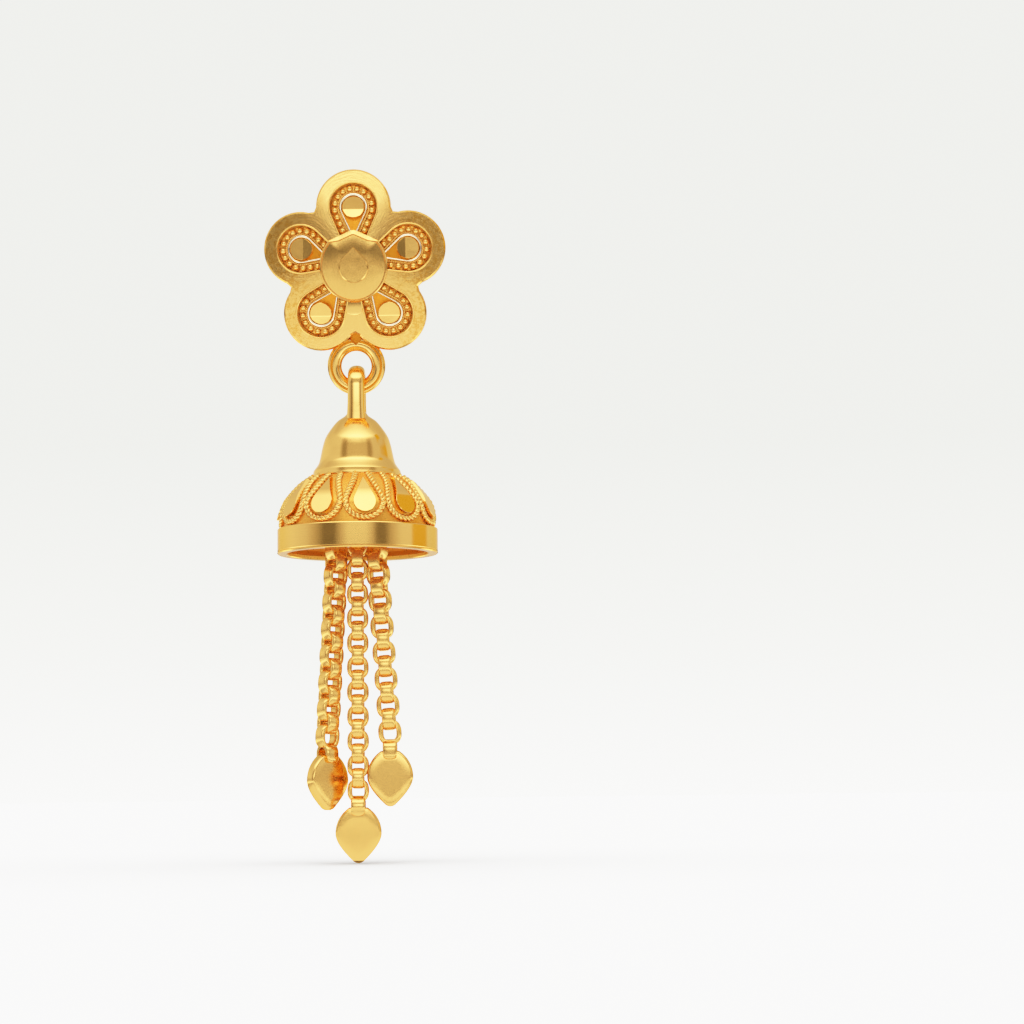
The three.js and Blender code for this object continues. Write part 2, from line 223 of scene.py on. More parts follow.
class EARRING_PG_gold(bpy.types.PropertyGroup):
    """Colours of the gold finishes."""

    # Painted highlight: the walls' pale colour stands for the bright light they catch.
    bright_cut: tint("Bright cut", "Colour of the paler bright-cut walls", "#FCE8C0")
    # Painted reflection: the field colour is a deep orange that stands for gold mirrored in gold.
    field: tint("Field", "Colour of the sunk fields, a deep orange of gold on gold", "#EE9024")
    # Painted reflection: the recess and inside colours are a deeper orange, standing for the gold that
    # hollows mirror.
    recess: tint("Recess", "Colour of the skirt under its ropes and of the bell's inside", "#E69C3C")
    inside: tint("Inside", "Colour of the pickled gold round the beads and inside the band", "#F3AE48")
    satin: tint("Satin", "Colour of the satin gold", "#F3B862")
    polished: tint("Polished", "Colour of the polished gold", "#F5B961")
    chain: tint("Chain", "Colour of the chain's tumbled gold", "#F4B860")
    wirework: tint("Wirework", "Colour of the beads and twisted wire", "#F6BC62")


class EARRING_PG_stage(bpy.types.PropertyGroup):
    """The floor and the camera."""

    floor: tint("Floor", "Colour of the floor", "#F2F2EF")
    floor_gap: size("Floor gap", "From the lowest leaf's tip to the floor", 0.03)
    lens: bpy.props.FloatProperty(
        name="Lens", description="Focal length", default=87.9, min=1, subtype="DISTANCE_CAMERA"
    )


# ---- Modelling helpers ------------------------------------------------------------------------------


def edges_between(bm, row, closed=True):
    """The edges that join a row's vertices in turn."""
    ends = row[1:] + row[:1] if closed else row[1:]
    return [bm.edges.get(pair) for pair in zip(row, ends)]


def new_verts(made):
    """The vertices that an extrusion made."""
    return [item for item in made["geom"] if isinstance(item, bmesh.types.BMVert)]


def draw_row(bm, points, closed=True):
    """A row of new vertices with edges between them."""
    row = [bm.verts.new(point) for point in points]
    for pair in zip(row, row[1:] + row[:1] if closed else row[1:]):
        bm.edges.new(pair)
    return row


def next_row(bm, row, points, closed=True):
    """Extrudes a row, and puts the new row's vertices at its points."""
    fresh = set(new_verts(bmesh.ops.extrude_edge_only(bm, edges=edges_between(bm, row, closed))))
    new = [next(w for w in (e.other_vert(v) for e in v.link_edges) if w in fresh) for v in row]
    for vert, point in zip(new, points):
        vert.co = point
    return new


def cap(bm, row):
    """Closes a row of vertices with a face."""
    bmesh.ops.contextual_create(bm, geom=row)


def loft(bm, rows, closed=True, caps=False):
    """Faces through rows of points. Returns the first and last rows of vertices."""
    first = last = draw_row(bm, rows[0], closed)
    for points in rows[1:]:
        last = next_row(bm, last, points, closed)
    if caps:
        cap(bm, first)
        cap(bm, last)
    return first, last


def sideways_and_out(along, normal):
    """The two directions square to a line's own, the second close to the normal."""
    side = along.cross(normal).normalized()
    return side, side.cross(along).normalized()


def sweep(bm, path, normals, section, closed=False):
    """Carries a closed section, as (outwards, sideways) pairs, along a path."""
    rows = []
    count = len(path)
    for i, (point, normal) in enumerate(zip(path, normals)):
        ahead = path[(i + 1) % count] if closed else path[min(i + 1, count - 1)]
        behind = path[i - 1] if closed else path[max(i - 1, 0)]
        side, up = sideways_and_out(ahead - behind, normal)
        rows.append([point + up * out + side * across for out, across in section])
    part = bmesh.new()
    loft(part, rows + rows[:1] if closed else rows, caps=not closed)
    merge(part)
    add_copy(bm, part)
    part.free()


def spun(degrees, axis="X"):
    """A turn about an axis."""
    return Matrix.Rotation(math.radians(degrees), 4, axis)


def move(bm, x, y, z):
    """Moves a whole shape."""
    bmesh.ops.translate(bm, verts=bm.verts, vec=(x, y, z))


def add_copy(bm, part, place=Matrix()):
    """Adds a copy of a small shape at that place, and leaves the small shape as it was."""
    mesh = bpy.data.meshes.new("copy")
    part.to_mesh(mesh)
    mesh.transform(place)
    bm.from_mesh(mesh)
    bpy.data.meshes.remove(mesh)


def cut_away(bm, cutter):
    """Takes the cutter's solid out of a shape."""
    temporary = []
    for name, source in (("whole", bm), ("cutter", cutter)):
        mesh = bpy.data.meshes.new(name)
        source.to_mesh(mesh)
        item = bpy.data.objects.new(name, mesh)
        bpy.context.scene.collection.objects.link(item)
        temporary.append(item)
    whole, tool = temporary
    boolean = whole.modifiers.new("cut", "BOOLEAN")
    boolean.operation = "DIFFERENCE"
    boolean.solver = "EXACT"
    boolean.object = tool
    result = bpy.data.meshes.new_from_object(whole.evaluated_get(bpy.context.evaluated_depsgraph_get()))
    bm.clear()
    bm.from_mesh(result)
    bpy.data.meshes.remove(result)
    for item in temporary:
        bpy.data.meshes.remove(item.data)


def merge(bm):
    """Joins vertices that lie on each other."""
    bmesh.ops.remove_doubles(bm, verts=bm.verts, dist=MERGE)


def turn(bm, profile, steps, closed=False):
    """Spins a profile of (radius, z) pairs once round Z."""
    row = draw_row(bm, [(radius, 0, z) for radius, z in profile], closed)
    bmesh.ops.spin(
        bm, geom=row + edges_between(bm, row, closed), cent=(0, 0, 0), axis=(0, 0, 1),
        angle=FULL_TURN, steps=steps, use_merge=True,
    )
    merge(bm)


def slice_level(bm, point, normal):
    """Cuts new edges through the whole shape along a plane."""
    everything = bm.verts[:] + bm.edges[:] + bm.faces[:]
    bmesh.ops.bisect_plane(bm, geom=everything, plane_co=point, plane_no=normal)


def soften(bm, edges, offset, segments=2):
    """Rounds off edges."""
    bmesh.ops.bevel(
        bm, geom=edges, offset=offset, offset_type="OFFSET", segments=segments, profile=0.5,
        affect="EDGES", clamp_overlap=True, material=-1,
    )


def circle_section(radius, sides):
    """A round wire's section, for sweep."""
    angles = [FULL_TURN * i / sides for i in range(sides)]
    return [(radius * math.cos(a), radius * math.sin(a)) for a in angles]


def powered(value, power):
    """A power that keeps the value's sign, which makes rounds fuller or leaner."""
    return math.copysign(abs(value) ** power, value)


def pointed_round(radius, point, steps):
    """A round about the origin that runs up to a point above it."""
    tangent = math.acos(radius / point)
    angles = [math.pi / 2 + tangent + (FULL_TURN - 2 * tangent) * i / steps for i in range(steps + 1)]
    return [(radius * math.cos(a), radius * math.sin(a)) for a in angles] + [(0, point)]


def height_at(profile, z):
    """The radius, at that height, of a profile of (radius, z) pairs that runs down."""
    for (r0, z0), (r1, z1) in zip(profile, profile[1:]):
        if z1 <= z <= z0:
            return r0 + (r1 - r0) * (z - z0) / (z1 - z0)
    raise ValueError(f"the profile has no height {z}")


def smooth_line(points, spans):
    """Points on a soft curve through the given (radius, z) pairs."""
    knots = [Vector((*p, 0)) for p in points]
    line = []
    for i in range(len(knots) - 1):
        before = knots[max(i - 1, 0)]
        after = knots[min(i + 2, len(knots) - 1)]
        a, b = knots[i], knots[i + 1]
        reach = (b - a).length / 3
        handle_a = a + (b - before).normalized() * reach
        handle_b = b - (after - a).normalized() * reach
        line += interpolate_bezier(a, handle_a, handle_b, b, spans + 1)[: spans + (i == len(knots) - 2)]
    return [(p.x, p.y) for p in line]


def even_steps(points, step, closed=False):
    """The line's points again at an even spacing close to step."""
    line = points + points[:1] if closed else points
    lengths = [0.0]
    for a, b in zip(line, line[1:]):
        lengths.append(lengths[-1] + (b - a).length)
    count = max(2, round(lengths[-1] / step))
    result = []
    k = 0
    for i in range(count if closed else count + 1):
        target = lengths[-1] * i / count
        while k < len(lengths) - 2 and lengths[k + 1] < target:
            k += 1
        share = (target - lengths[k]) / (lengths[k + 1] - lengths[k])
        result.append(line[k].lerp(line[k + 1], share))
    return result


def twist_wires(bm, path, normals, radius, pitch, flat=1.0):
    """Two wires wound round each other along a path. The radius is that of the whole rope, and flat is
    how much of its height is left after it is pressed down."""
    wire = radius / 2
    step = (path[1] - path[0]).length
    for start in (0, math.pi):
        centres = []
        for i, (point, normal) in enumerate(zip(path, normals)):
            along = path[min(i + 1, len(path) - 1)] - path[max(i - 1, 0)]
            side, up = sideways_and_out(along, normal)
            angle = start + FULL_TURN * i * step / pitch
            centres.append(point + (up * math.cos(angle) * flat + side * math.sin(angle)) * wire)
        sweep(bm, centres, normals, circle_section(wire * 1.02, 6))


def new_object(bm, name, *materials):
    """A shape as an object in the scene, shaded smooth. The shape is used up."""
    mesh = bpy.data.meshes.new(name)
    bm.to_mesh(mesh)
    bm.free()
    mesh.shade_smooth()
    for material in materials:
        mesh.materials.append(material)
    item = bpy.data.objects.new(name, mesh)
    bpy.context.scene.collection.objects.link(item)
    return item


def place_piece(bm, name, place, *materials, crease=35):
    """Turns a finished shape into an object whose place is in its mesh."""
    merge(bm)
    bmesh.ops.recalc_face_normals(bm, faces=bm.faces)
    bmesh.ops.transform(bm, matrix=place, verts=bm.verts)
    piece = new_object(bm, name, *materials)
    piece.data.set_sharp_from_angle(angle=math.radians(crease))
    return piece


# ---- Materials --------------------------------------------------------------------------------------


def add_node(tree, kind, inputs=None, **settings):
    """Adds a node, sets its own settings, and fills or links its inputs. A node that is given as an input
    links its first output."""
    node = tree.nodes.new(kind)
    for name, value in settings.items():
        setattr(node, name, value)
    for key, value in (inputs or {}).items():
        source = value.outputs[0] if isinstance(value, bpy.types.Node) else value
        if isinstance(source, bpy.types.NodeSocket):
            tree.links.new(source, node.inputs[key])
        else:
            node.inputs[key].default_value = value
    return node


def new_material(name):
    """An empty node material, and its tree."""
    material = bpy.data.materials.new(name)
    material.use_nodes = True
    material.node_tree.nodes.clear()
    return material, material.node_tree


def millimetres(tree):
    """The piece's own coordinates in millimetres."""
    place = add_node(tree, "ShaderNodeTexCoord").outputs["Object"]
    return add_node(tree, "ShaderNodeMapping", {"Vector": place, "Scale": (1000, 1000, 1000)})


SHADED = (0.8, 0.68, 0.45)  # what shade leaves of red, green and blue


def finish_gold(tree, colour, shade, amount, roughness, spread, texture, height, metallic=1.0, edge=0.4):
    """The shader that all the gold finishes end in: a metal whose colour darkens by amount where shade
    is high, whose roughness runs over spread with the texture, and whose bumps are height tall. Grainy
    finishes are a little less than wholly metallic, because light scatters between their grains. Seen
    edge on, gold keeps some of its colour, the more the higher edge is."""
    darker = tuple(c * f for c, f in zip(colour, SHADED))
    factor = add_node(tree, "ShaderNodeMath", {0: shade, 1: amount}, operation="MULTIPLY", use_clamp=True)
    mixed = add_node(
        tree, "ShaderNodeMix", {0: factor, 6: (*colour, 1), 7: (*darker, 1)}, data_type="RGBA"
    )
    rough = add_node(
        tree, "ShaderNodeMapRange",
        {"Value": texture, "From Min": 0.25, "From Max": 0.75,
         "To Min": roughness - spread / 2, "To Max": roughness + spread / 2},
    )
    bump = add_node(tree, "ShaderNodeBump", {"Strength": 1, "Distance": height * MM, "Height": texture})
    shader = add_node(
        tree, "ShaderNodeBsdfPrincipled",
        {"Base Color": mixed.outputs[2], "Metallic": metallic, "Roughness": rough,
         "Specular Tint": (*(c**edge for c in colour), 1), "Normal": bump},
    )
    add_node(tree, "ShaderNodeOutputMaterial", {"Surface": shader})


def petal_gold(colour):
    """22 carat gold, brushed round each petal with a wheel: strokes that follow the rim streak the
    reflection. The two side petals are browner with a grain of dark specks, partly wear and partly a painted
    shade for the darker light they face."""
    material, tree = new_material("gold_22ct_wheel_brushed")
    along = add_node(tree, "ShaderNodeUVMap", uv_map="brush")
    # The strokes are about 0.7 mm long and 0.1 mm wide, coarser than the wheel's, so that they show.
    stretched = add_node(tree, "ShaderNodeMapping", {"Vector": along, "Scale": (1.5, 9, 1)})
    strokes = add_node(
        tree, "ShaderNodeTexNoise", {"Vector": stretched, "Scale": 1, "Detail": 4, "Roughness": 0.65}
    )
    place = millimetres(tree)
    clouds = add_node(
        tree, "ShaderNodeTexNoise", {"Vector": place, "Scale": 0.9, "Detail": 3, "Roughness": 0.55}
    )
    specks = add_node(
        tree, "ShaderNodeTexNoise", {"Vector": place, "Scale": 4.2, "Detail": 3, "Roughness": 0.75}
    )
    patches = add_node(tree, "ShaderNodeMapRange", {"Value": clouds, "From Min": 0.38, "From Max": 0.62})
    grain = add_node(tree, "ShaderNodeMapRange", {"Value": specks, "From Min": 0.48, "From Max": 0.56})
    both = add_node(tree, "ShaderNodeMath", {0: patches, 1: 0.45, 2: grain}, operation="MULTIPLY_ADD")
    # Painted shade, partly wear: the petals are darkened and specked more the further they lie to either
    # side.
    across = add_node(tree, "ShaderNodeSeparateXYZ", {"Vector": place}).outputs["X"]
    aside = add_node(tree, "ShaderNodeMath", {0: across}, operation="ABSOLUTE")
    rubbed = add_node(
        tree, "ShaderNodeMapRange", {"Value": aside, "From Min": 1.9, "From Max": 4.3, "To Min": 0.04}
    )
    shade = add_node(tree, "ShaderNodeMath", {0: both, 1: rubbed}, operation="MULTIPLY")
    grit = add_node(tree, "ShaderNodeMath", {0: specks, 1: rubbed}, operation="MULTIPLY")
    surface = add_node(tree, "ShaderNodeMath", {0: grit, 1: 0.6, 2: strokes}, operation="MULTIPLY_ADD")
    finish_gold(tree, colour, shade, 0.95, 0.18, 0.12, surface, 0.006)
    return material


def satin_gold(colour):
    """22 carat gold, planished and brushed to a satin: a fine cross-hatched grain of about 0.1 mm that
    spreads each reflection without hiding it."""
    material, tree = new_material("gold_22ct_satin")
    place = millimetres(tree)
    grain = add_node(
        tree, "ShaderNodeTexNoise", {"Vector": place, "Scale": 9, "Detail": 4, "Roughness": 0.65}
    )
    clouds = add_node(
        tree, "ShaderNodeTexNoise", {"Vector": place, "Scale": 1.6, "Detail": 3, "Roughness": 0.5}
    )
    finish_gold(tree, colour, clouds, 0.25, 0.19, 0.08, grain, 0.0015)
    return material


def planished_gold(colour):
    """22 carat gold, planished with a flat hammer and then rubbed with emery: shallow facets about 0.7 mm
    across and fine straight scratches, which break the sheen into patches."""
    material, tree = new_material("gold_22ct_planished")
    place = millimetres(tree)
    facets = add_node(
        tree, "ShaderNodeTexVoronoi", {"Vector": place, "Scale": 1.4}, feature="SMOOTH_F1"
    )
    stretched = add_node(tree, "ShaderNodeMapping", {"Vector": place, "Scale": (14, 1, 1.6)})
    scratches = add_node(
        tree, "ShaderNodeTexNoise", {"Vector": stretched, "Scale": 1, "Detail": 4, "Roughness": 0.65}
    )
    both = add_node(tree, "ShaderNodeMix", {0: 0.55, 2: facets, 3: scratches}, data_type="FLOAT")
    finish_gold(tree, colour, scratches, 0.35, 0.18, 0.1, both, 0.015)
    return material


def plain_gold(name, colour, texture, amount, roughness, spread, height, stretch=(1, 1, 1), **more):
    """A gold whose shade, roughness and bumps follow one noise of that scale, detail and roughness."""
    material, tree = new_material(name)
    place = add_node(tree, "ShaderNodeMapping", {"Vector": millimetres(tree), "Scale": stretch})
    scale, detail, grain = texture
    skin = add_node(
        tree, "ShaderNodeTexNoise", {"Vector": place, "Scale": scale, "Detail": detail, "Roughness": grain}
    )
    finish_gold(tree, colour, skin, amount, roughness, spread, skin, height, **more)
    return material


def polished_gold(colour):
    """22 carat gold, polished by hand: near-mirror reflections with the faint waviness, about 0.8 mm
    from crest to crest, that buffing leaves."""
    return plain_gold("gold_22ct_polished", colour, (1.2, 2, 0.4), 0.1, 0.13, 0.06, 0.005, edge=0.22)


def wirework_gold(colour):
    """22 carat gold granules and twisted wire, fired and pickled: small bright highlights on each
    grain, with deep orange where the grains reflect each other. The skin's mottle is 0.2 mm."""
    name = "gold_22ct_granulation"
    return plain_gold(name, colour, (5, 2, 0.5), 0.2, 0.15, 0.08, 0.003, metallic=0.85)


def chain_gold(colour):
    """22 carat gold strip, bent into links and tumbled bright: rounded highlights along each link and
    small dents from the other links, about 0.3 mm apart."""
    return plain_gold("gold_22ct_tumbled", colour, (3, 2, 0.5), 0.1, 0.19, 0.06, 0.001, metallic=0.85)


def field_gold(colour):
    """22 carat gold, scraped bright at the bottom of each sunk field, in scrapes 0.25 mm wide. Its deep
    orange is a painted reflection, standing for the gold walls round it that the field mirrors."""
    return plain_gold("gold_22ct_scraped", colour, (4, 2, 0.5), 0.25, 0.3, 0.08, 0.003, metallic=0.55)


def recess_gold(colour):
    """22 carat gold left as it came from the pickle, where no tool reaches: a soft sheen with a bloom of
    about 0.17 mm. Its deeper colour is a painted reflection, standing for the gold that these hollows
    mirror."""
    return plain_gold("gold_22ct_pickled", colour, (6, 3, 0.6), 0.3, 0.3, 0.1, 0.002, metallic=0.6)


def band_gold(colour):
    """22 carat gold, turned on the lathe: fine rings round the band, 0.08 mm apart, that draw each
    reflection out up and down."""
    name = "gold_22ct_turned"
    rings = (0.3, 0.3, 12)
    return plain_gold(name, colour, (1, 3, 0.6), 0.15, 0.13, 0.05, 0.0006, rings, metallic=0.95)


def bright_cut_gold(colour):
    """Gold painted a pale, almost white colour, with a grain about 0.3 mm long: a painted highlight, an
    almost white line of light along the walls."""
    return plain_gold("gold_18ct_bright_cut", colour, (3, 2, 0.5), 0.15, 0.18, 0.06, 0.002)


FINISHES = {
    "field": (field_gold, "field"),
    "recess": (recess_gold, "recess"),
    "inside": (recess_gold, "inside"),
    "band": (band_gold, "polished"),
    "bright_cut": (bright_cut_gold, "bright_cut"),
    "planished": (planished_gold, "satin"),
    "petal": (petal_gold, "satin"),
    "satin": (satin_gold, "satin"),
    "polished": (polished_gold, "polished"),
    "wirework": (wirework_gold, "wirework"),
    "chain": (chain_gold, "chain"),
}
made_finishes = {}


def finish(name):
    """The material of that finish, made once."""
    if name not in made_finishes:
        maker, colour = FINISHES[name]
        made_finishes[name] = maker(tuple(getattr(bpy.context.scene.earring_gold, colour)))
    return made_finishes[name]


# ---- Stage ------------------------------------------------------------------------------------------

# The studio's light as brightness and warmth: near eye level, by azimuth in degrees from the front
# towards +X, to be multiplied by its rise with elevation,
AROUND = [
    (-180, 1.05, 0), (-139, 1.15, 0), (-105, 1.2, 0), (-76, 0.95, 0), (-58, 0.5, 0.1), (-46, 0.12, 0.2),
    (-30, 0.12, 0.2), (-18, 0.62, 0), (-10, 0.95, 0), (14, 0.95, 0), (24, 0.6, 0), (31, 0.14, 0.2),
    (43, 0.14, 0.2), (54, 0.6, 0.1), (68, 1.05, 0), (86, 1.1, 0), (90, 0.95, 1), (118, 0.95, 1),
    (123, 1.05, 0), (180, 1.05, 0),
]
RISING = [
    (0, 0.3, 0), (3.5, 0.66, 0), (6.5, 1.1, 0), (7.8, 1.3, 0), (9.4, 3.3, 0), (17, 4.0, 0),
    (22, 1.4, 0), (28, 0.9, 0),
]
# which is gentler to the sides and behind,
RISING_ASIDE = [(0, 0.42, 0), (4, 0.8, 0), (7, 1.15, 0), (28, 0.9, 0)]
# then higher up, by azimuth,
AROUND_HIGH = [
    (-180, 0.8, 0), (-90, 1.1, 0), (-58, 1.15, 0), (-46, 0.42, 0.2), (-35, 0.42, 0.2), (-27, 0.8, 0.1),
    (36, 0.8, 0.1), (43, 0.45, 0.2), (52, 0.45, 0.2), (62, 0.95, 0), (120, 0.8, 0), (180, 0.8, 0),
]
# and last overhead, by how far ahead of the earring it is.
OVERHEAD = [
    (-1, 0.7, 0), (-0.3, 0.85, 0), (-0.1, 1.0, 0), (0, 1.25, 0), (0.14, 1.6, 0), (0.28, 2.3, 0),
    (0.5, 3.1, 0), (0.66, 3.8, 0), (1, 3.8, 0),
]
BRIGHTEST = 4.0
# The table's brightness by distance in metres.
TABLE = [
    (0.0, 1.6, 0), (0.012, 1.5, 0), (0.018, 0.6, 0), (0.028, 0.6, 0), (0.034, 3.2, 0), (0.052, 3.2, 0),
    (0.06, 1.4, 0), (0.14, 1.4, 0), (0.19, 1.15, 0), (0.24, 0.8, 0), (0.31, 0.22, 0), (0.7, 0.12, 0),
    (1.0, 0.25, 0),
]
# The floor's own glow by distance in millimetres, with a painted shadow: the glow is less round the
# earring's foot, standing for the shade it casts.
GLOW = [(0, 0.2, 0), (1.5, 0.36, 0), (4, 0.62, 0), (10, 0.76, 0), (22, 0.9, 0), (45, 1.0, 0)]
FLOOR_SHARE = 0.36  # of its colour, that the floor shows by reflected light
# The backdrop's colour by height in metres.
BACKDROP = [(-0.04, "#FFFFFB"), (0.0532, "#EFF0E9"), (0.193, "#DFE1D9")]
BACKDROP_STRENGTH = 1.785
CARD = "#FFD745"
CARD_STRENGTH = 0.98
# How far the floor, the backdrop and the lit table reach, in metres.
FLOOR_REACH = 1.55
BACKDROP_REACH = 1.5
TABLE_REACH = 2.8
# The shoulder of a camera's tone curve: scene light over 3 against shown light.
SHOULDER = [
    (0.14, 0.415), (0.217, 0.59), (0.287, 0.70), (0.383, 0.82), (0.433, 0.865), (0.567, 0.935),
    (0.767, 0.985),
]
CAMERA_PLACE = (0.01025, -0.16389, -0.034845)
CAMERA_UP = 6.345  # degrees above level
CAMERA_ASIDE = -0.7
RAYS = ("camera", "diffuse", "glossy", "transmission", "volume_scatter", "shadow")


def colour_ramp(tree, value, stops):
    """The colour at that value, which runs from the first stop to the last."""
    low, high = stops[0][0], stops[-1][0]
    along = add_node(tree, "ShaderNodeMapRange", {"Value": value, "From Min": low, "From Max": high})
    ramp = add_node(tree, "ShaderNodeValToRGB", {"Fac": along})
    elements = ramp.color_ramp.elements
    while len(elements) < len(stops):
        elements.new(0.5)
    for element, (place, _) in zip(elements, stops):
        element.position = (place - low) / (high - low)
    for element, (_, colour) in zip(elements, stops):
        element.color = (*colour, 1)
    return ramp.outputs[0]


def studio_ramp(tree, value, stops, blue=1.0):
    """The light of those stops as shares of the brightest."""
    colours = []
    for place, level, warmth in stops:
        share = level / BRIGHTEST
        colours.append((place, (share, share * (1 - 0.32 * warmth), share * (1 - 0.93 * warmth) * blue)))
    return colour_ramp(tree, value, colours)


def fade(tree, value, low, high, below, above):
    """The light below where the value is under low, the light above where it is over high, and a smooth
    change between."""
    step = add_node(
        tree, "ShaderNodeMapRange", {"Value": value, "From Min": low, "From Max": high},
        interpolation_type="SMOOTHSTEP",
    )
    return add_node(tree, "ShaderNodeMix", {0: step, 6: below, 7: above}, data_type="RGBA").outputs[2]


def studio_world():
    """Soft studio light from all round: large pale panels with darker gaps between them, which the
    gold mirrors."""
    world = bpy.data.worlds.new("soft_studio")
    world.use_nodes = True
    tree = world.node_tree
    tree.nodes.clear()
    direction = add_node(tree, "ShaderNodeTexCoord").outputs["Generated"]
    parts = add_node(tree, "ShaderNodeSeparateXYZ", {"Vector": direction}).outputs
    ahead = add_node(tree, "ShaderNodeMath", {0: parts["Y"], 1: -1.0}, operation="MULTIPLY")
    turned = add_node(tree, "ShaderNodeMath", {0: parts["X"], 1: ahead}, operation="ARCTAN2")
    risen = add_node(tree, "ShaderNodeMath", {0: parts["Z"]}, operation="ARCSINE")
    azimuth = add_node(tree, "ShaderNodeMath", {0: turned}, operation="DEGREES")
    elevation = add_node(tree, "ShaderNodeMath", {0: risen}, operation="DEGREES")
    aside = studio_ramp(tree, elevation, RISING_ASIDE)
    rising = fade(tree, ahead, 0.45, 0.7, aside, studio_ramp(tree, elevation, RISING))
    light = studio_ramp(tree, azimuth, AROUND)
    # A product of two shares of the brightest is brought back to one share.
    for factor in (rising, (BRIGHTEST, BRIGHTEST, BRIGHTEST, 1)):
        light = add_node(
            tree, "ShaderNodeMix", {0: 1.0, 6: light, 7: factor}, data_type="RGBA", blend_type="MULTIPLY"
        ).outputs[2]
    light = fade(tree, elevation, 20, 28, light, studio_ramp(tree, azimuth, AROUND_HIGH))
    light = fade(tree, elevation, 36, 44, light, studio_ramp(tree, ahead, OVERHEAD))
    shine = add_node(tree, "ShaderNodeBackground", {"Color": light, "Strength": BRIGHTEST})
    add_node(tree, "ShaderNodeOutputWorld", {"Surface": shine})
    return world


def distance_aside(tree, place):
    """How far a place is from the upright through the origin."""
    flat = add_node(tree, "ShaderNodeVectorMath", {0: place, 1: (1, 1, 0)}, operation="MULTIPLY")
    return add_node(tree, "ShaderNodeVectorMath", {0: flat}, operation="LENGTH").outputs["Value"]


def finish_glow(tree, colour, strength):
    """The end of each stage material that only glows."""
    shine = add_node(tree, "ShaderNodeEmission", {"Color": colour, "Strength": strength})
    add_node(tree, "ShaderNodeOutputMaterial", {"Surface": shine})


def floor_paper(colour):
    """Matt white paper on a light table: it glows evenly, with a painted shadow where the earring stands
    over it.
    """
    material, tree = new_material("paper_floor")
    diffuse = add_node(tree, "ShaderNodeBsdfDiffuse", {"Color": (*(c * FLOOR_SHARE for c in colour), 1)})
    glow = studio_ramp(tree, distance_aside(tree, millimetres(tree)), GLOW)
    shine = add_node(tree, "ShaderNodeEmission", {"Color": glow, "Strength": BRIGHTEST})
    both = add_node(tree, "ShaderNodeAddShader", {0: diffuse, 1: shine})
    add_node(tree, "ShaderNodeOutputMaterial", {"Surface": both})
    return material


def backdrop_paper():
    """Seamless pale paper, whose light falls off gently with height."""
    material, tree = new_material("paper_backdrop")
    place = add_node(tree, "ShaderNodeTexCoord").outputs["Object"]
    height = add_node(tree, "ShaderNodeSeparateXYZ", {"Vector": place}).outputs["Z"]
    colours = [(stop, linear(code)) for stop, code in BACKDROP]
    finish_glow(tree, colour_ramp(tree, height, colours), BACKDROP_STRENGTH)
    return material


def table_cloth():
    """White cotton, lit close to the earring and darker further away."""
    material, tree = new_material("cloth_white_cotton")
    place = add_node(tree, "ShaderNodeTexCoord").outputs["Object"]
    finish_glow(tree, studio_ramp(tree, distance_aside(tree, place), TABLE, blue=0.97), BRIGHTEST)
    return material


def card_paper():
    """Orange card, which warms one side of the bell."""
    material, tree = new_material("card_orange")
    finish_glow(tree, (*linear(CARD), 1), CARD_STRENGTH)
    return material


def flat_round(radius, z):
    """A level disc at height z."""
    bm = bmesh.new()
    bmesh.ops.create_circle(bm, cap_ends=True, segments=96, radius=radius)
    move(bm, 0, 0, z)
    return bm


def stage_piece(bm, name, material, rays):
    """A stage object that only those kinds of ray meet."""
    item = new_object(bm, name, material)
    for ray in RAYS:
        setattr(item, f"visible_{ray}", ray in rays)


